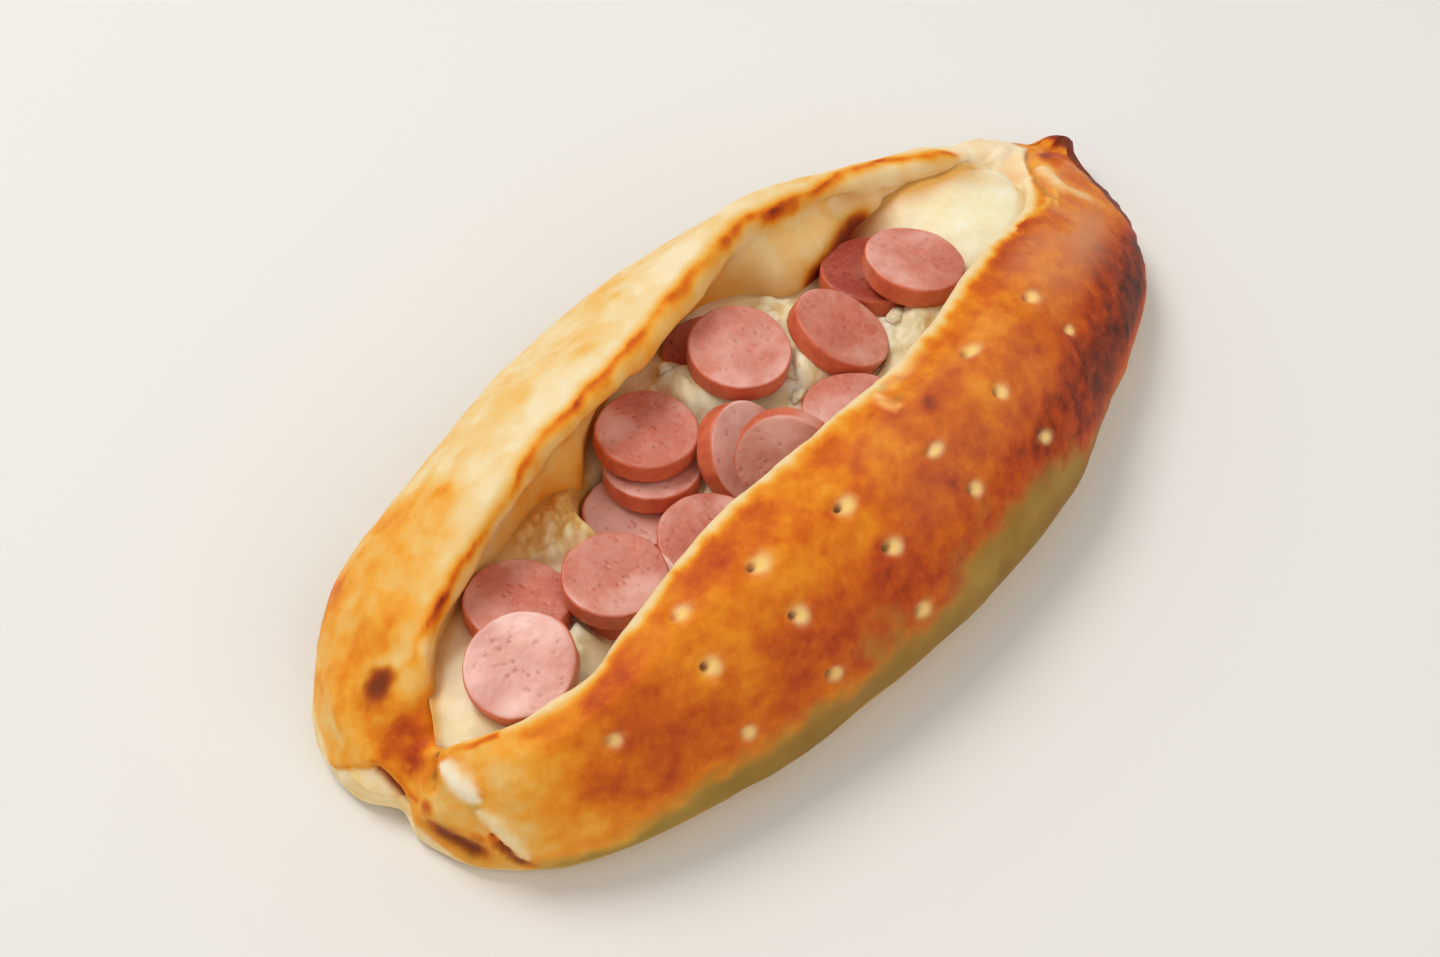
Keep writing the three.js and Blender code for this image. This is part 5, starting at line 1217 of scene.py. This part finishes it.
rng = np.random.default_rng(4410)
wanted = [(x, y, r, g, 0) for x, y, r, g in SINGLE]
curd_v, curd_t, curd_g, curd_low_painted_shade = [], [], [], []
count = 0
for q, (x, y, r, g, allowed) in enumerate(wanted):
    i = int(np.argmin((gx - x) ** 2 + (gy - y) ** 2))
    if (gx[i] - x) ** 2 + (gy[i] - y) ** 2 > 1.0 or edge[i] < 0.4 * r:
        continue
    c = np.array([x, y, hz[i] - (0.10 if q < len(SINGLE) else 0.30) * r])
    if not clear_of_slices(c, r * (0.45 if q < len(SINGLE) else 1.0), allowed):
        continue
    co, tr = BALLS[3 if r > 1.5 else 2]
    V0 = co * (1 + 0.38 * noise(co + 5.1 * q, 1.0, 521) + 0.22 * noise(co + 3.3 * q, 0.5, 522) + 0.05 * noise(co + 1.7 * q, 0.25, 523))[:, None]
    an = rng.random() * 6.283; ca, sa = math.cos(an), math.sin(an)
    V0 = V0 * np.array([r * (0.9 + 0.7 * rng.random()), r * (0.75 + 0.3 * rng.random()), r * (0.52 + 0.22 * rng.random())])
    # painted shade: each curd warmer towards its foot
    curd_low_painted_shade.append(np.clip(0.08 + (0.15 + 0.6 * g) * (0.55 - 0.55 * V0[:, 2] / (0.6 * r)), 0, 0.8))
    V0 = np.stack([ca * V0[:, 0] - sa * V0[:, 1], sa * V0[:, 0] + ca * V0[:, 1], V0[:, 2]], 1) + c
    curd_v.append(V0); curd_t.append(tr + count); curd_g.append(np.full(len(V0), g)); count += len(V0)
# green_and_painted_shade: a green tint on the curds, and painted shade by the left wall around x -57 and in the creases
green_and_painted_shade = np.concatenate([np.clip(curdy * (0.20 + 0.3 * noise(G0, 3.2, 514)) + near_a * (0.70 + 0.6 * noise(GS, 2.4, 519)) + 0.22 * curd_crease_shade, 0, 1), np.zeros(nr)])
# painted shade: the cheese by the left wall near slice 14 turned red-brown, where shadow falls
painted_shade_brown = np.concatenate([1.0 * np.exp(-(left_edge / (9.0 + 1.5 * noise(G0, 3.0, 541))) ** 4) * smooth(34, 42, gx) * (1 - smooth(51, 68, gx + 0.6 * left_edge)), np.zeros(nr)])
if curd_v:
    nv = len(V)
    V = np.concatenate([V] + curd_v); T = np.concatenate([T] + [t_ + nv for t_ in curd_t])
    warm_and_painted_shade = np.concatenate([warm_and_painted_shade] + curd_low_painted_shade); green_and_painted_shade = np.concatenate([green_and_painted_shade] + curd_g)
    print("curds", len(curd_v), "cheese tris", len(T))
cheese = make_object("cheese_fill", V, T, dict(warm_and_painted_shade=warm_and_painted_shade, green_and_painted_shade=green_and_painted_shade, painted_shade_brown=np.concatenate([painted_shade_brown, np.zeros(len(V) - len(painted_shade_brown))])), M_CHEESE)
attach(cheese, "root"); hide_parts("cheese")

# =====================================================================================
# Floor, light, camera
# =====================================================================================
bpy.ops.mesh.primitive_plane_add(size=6.0, location=(0, 0, -0.0002))
floor = bpy.context.object; floor.name = "floor"
fm, fnt, fbs = new_material("floor_pale")
fbs.inputs["Base Color"].default_value = srgb(236, 234, 230); fbs.inputs["Roughness"].default_value = 0.8
floor.data.materials.append(fm)

CAM_POS = np.array([-247.2, -200.3, 371.5]); PSI = math.radians(41.5); ELEV = math.radians(50.0)
right_v = Vector((math.sin(PSI), -math.cos(PSI), 0)); fh = Vector((math.cos(PSI), math.sin(PSI), 0))
fwd = fh * math.cos(ELEV) + Vector((0, 0, -math.sin(ELEV))); up = right_v.cross(fwd)
cam_data = bpy.data.cameras.new("camera"); cam = bpy.data.objects.new("camera", cam_data)
bpy.context.scene.collection.objects.link(cam)
cam_data.sensor_width = 36.0; cam_data.sensor_fit = 'HORIZONTAL'; cam_data.lens = 2086 / 1440 * 36.0
cam_data.clip_start = 0.01; cam_data.clip_end = 20
M = Matrix((right_v, up, -fwd)).transposed().to_4x4(); M.translation = Vector((CAM_POS + SHIFT) / 1000.0)
cam.matrix_world = M
bpy.context.scene.camera = cam


def area(name, direction, distance, size, power, colour=(1, 1, 1)):
    d = Vector(direction).normalized()
    L = bpy.data.lights.new(name, 'AREA'); L.shape = 'DISK'; L.size = size; L.energy = power; L.color = colour
    o = bpy.data.objects.new(name, L); bpy.context.scene.collection.objects.link(o)
    o.location = d * distance; o.rotation_euler = (-d).to_track_quat('-Z', 'Y').to_euler()
    return o


left_v = -right_v
area("key", left_v * 0.56 + fh * 0.36 + Vector((0, 0, 1.10)), 1.6, 0.75, 11.5, (1.0, 0.97, 0.93))
area("fill", right_v * 0.7 - fh * 0.7 + Vector((0, 0, 0.8)), 1.8, 1.4, 5.4, (1.0, 0.98, 0.95))
w = bpy.data.worlds.new("studio"); bpy.context.scene.world = w; w.use_nodes = True
w.node_tree.nodes["Background"].inputs[0].default_value = (1.0, 0.98, 0.95, 1); w.node_tree.nodes["Background"].inputs[1].default_value = 0.54
bpy.context.scene.view_settings.view_transform = 'Standard'
bpy.context.scene.view_settings.look = 'None'

bpy.context.view_layer.update()
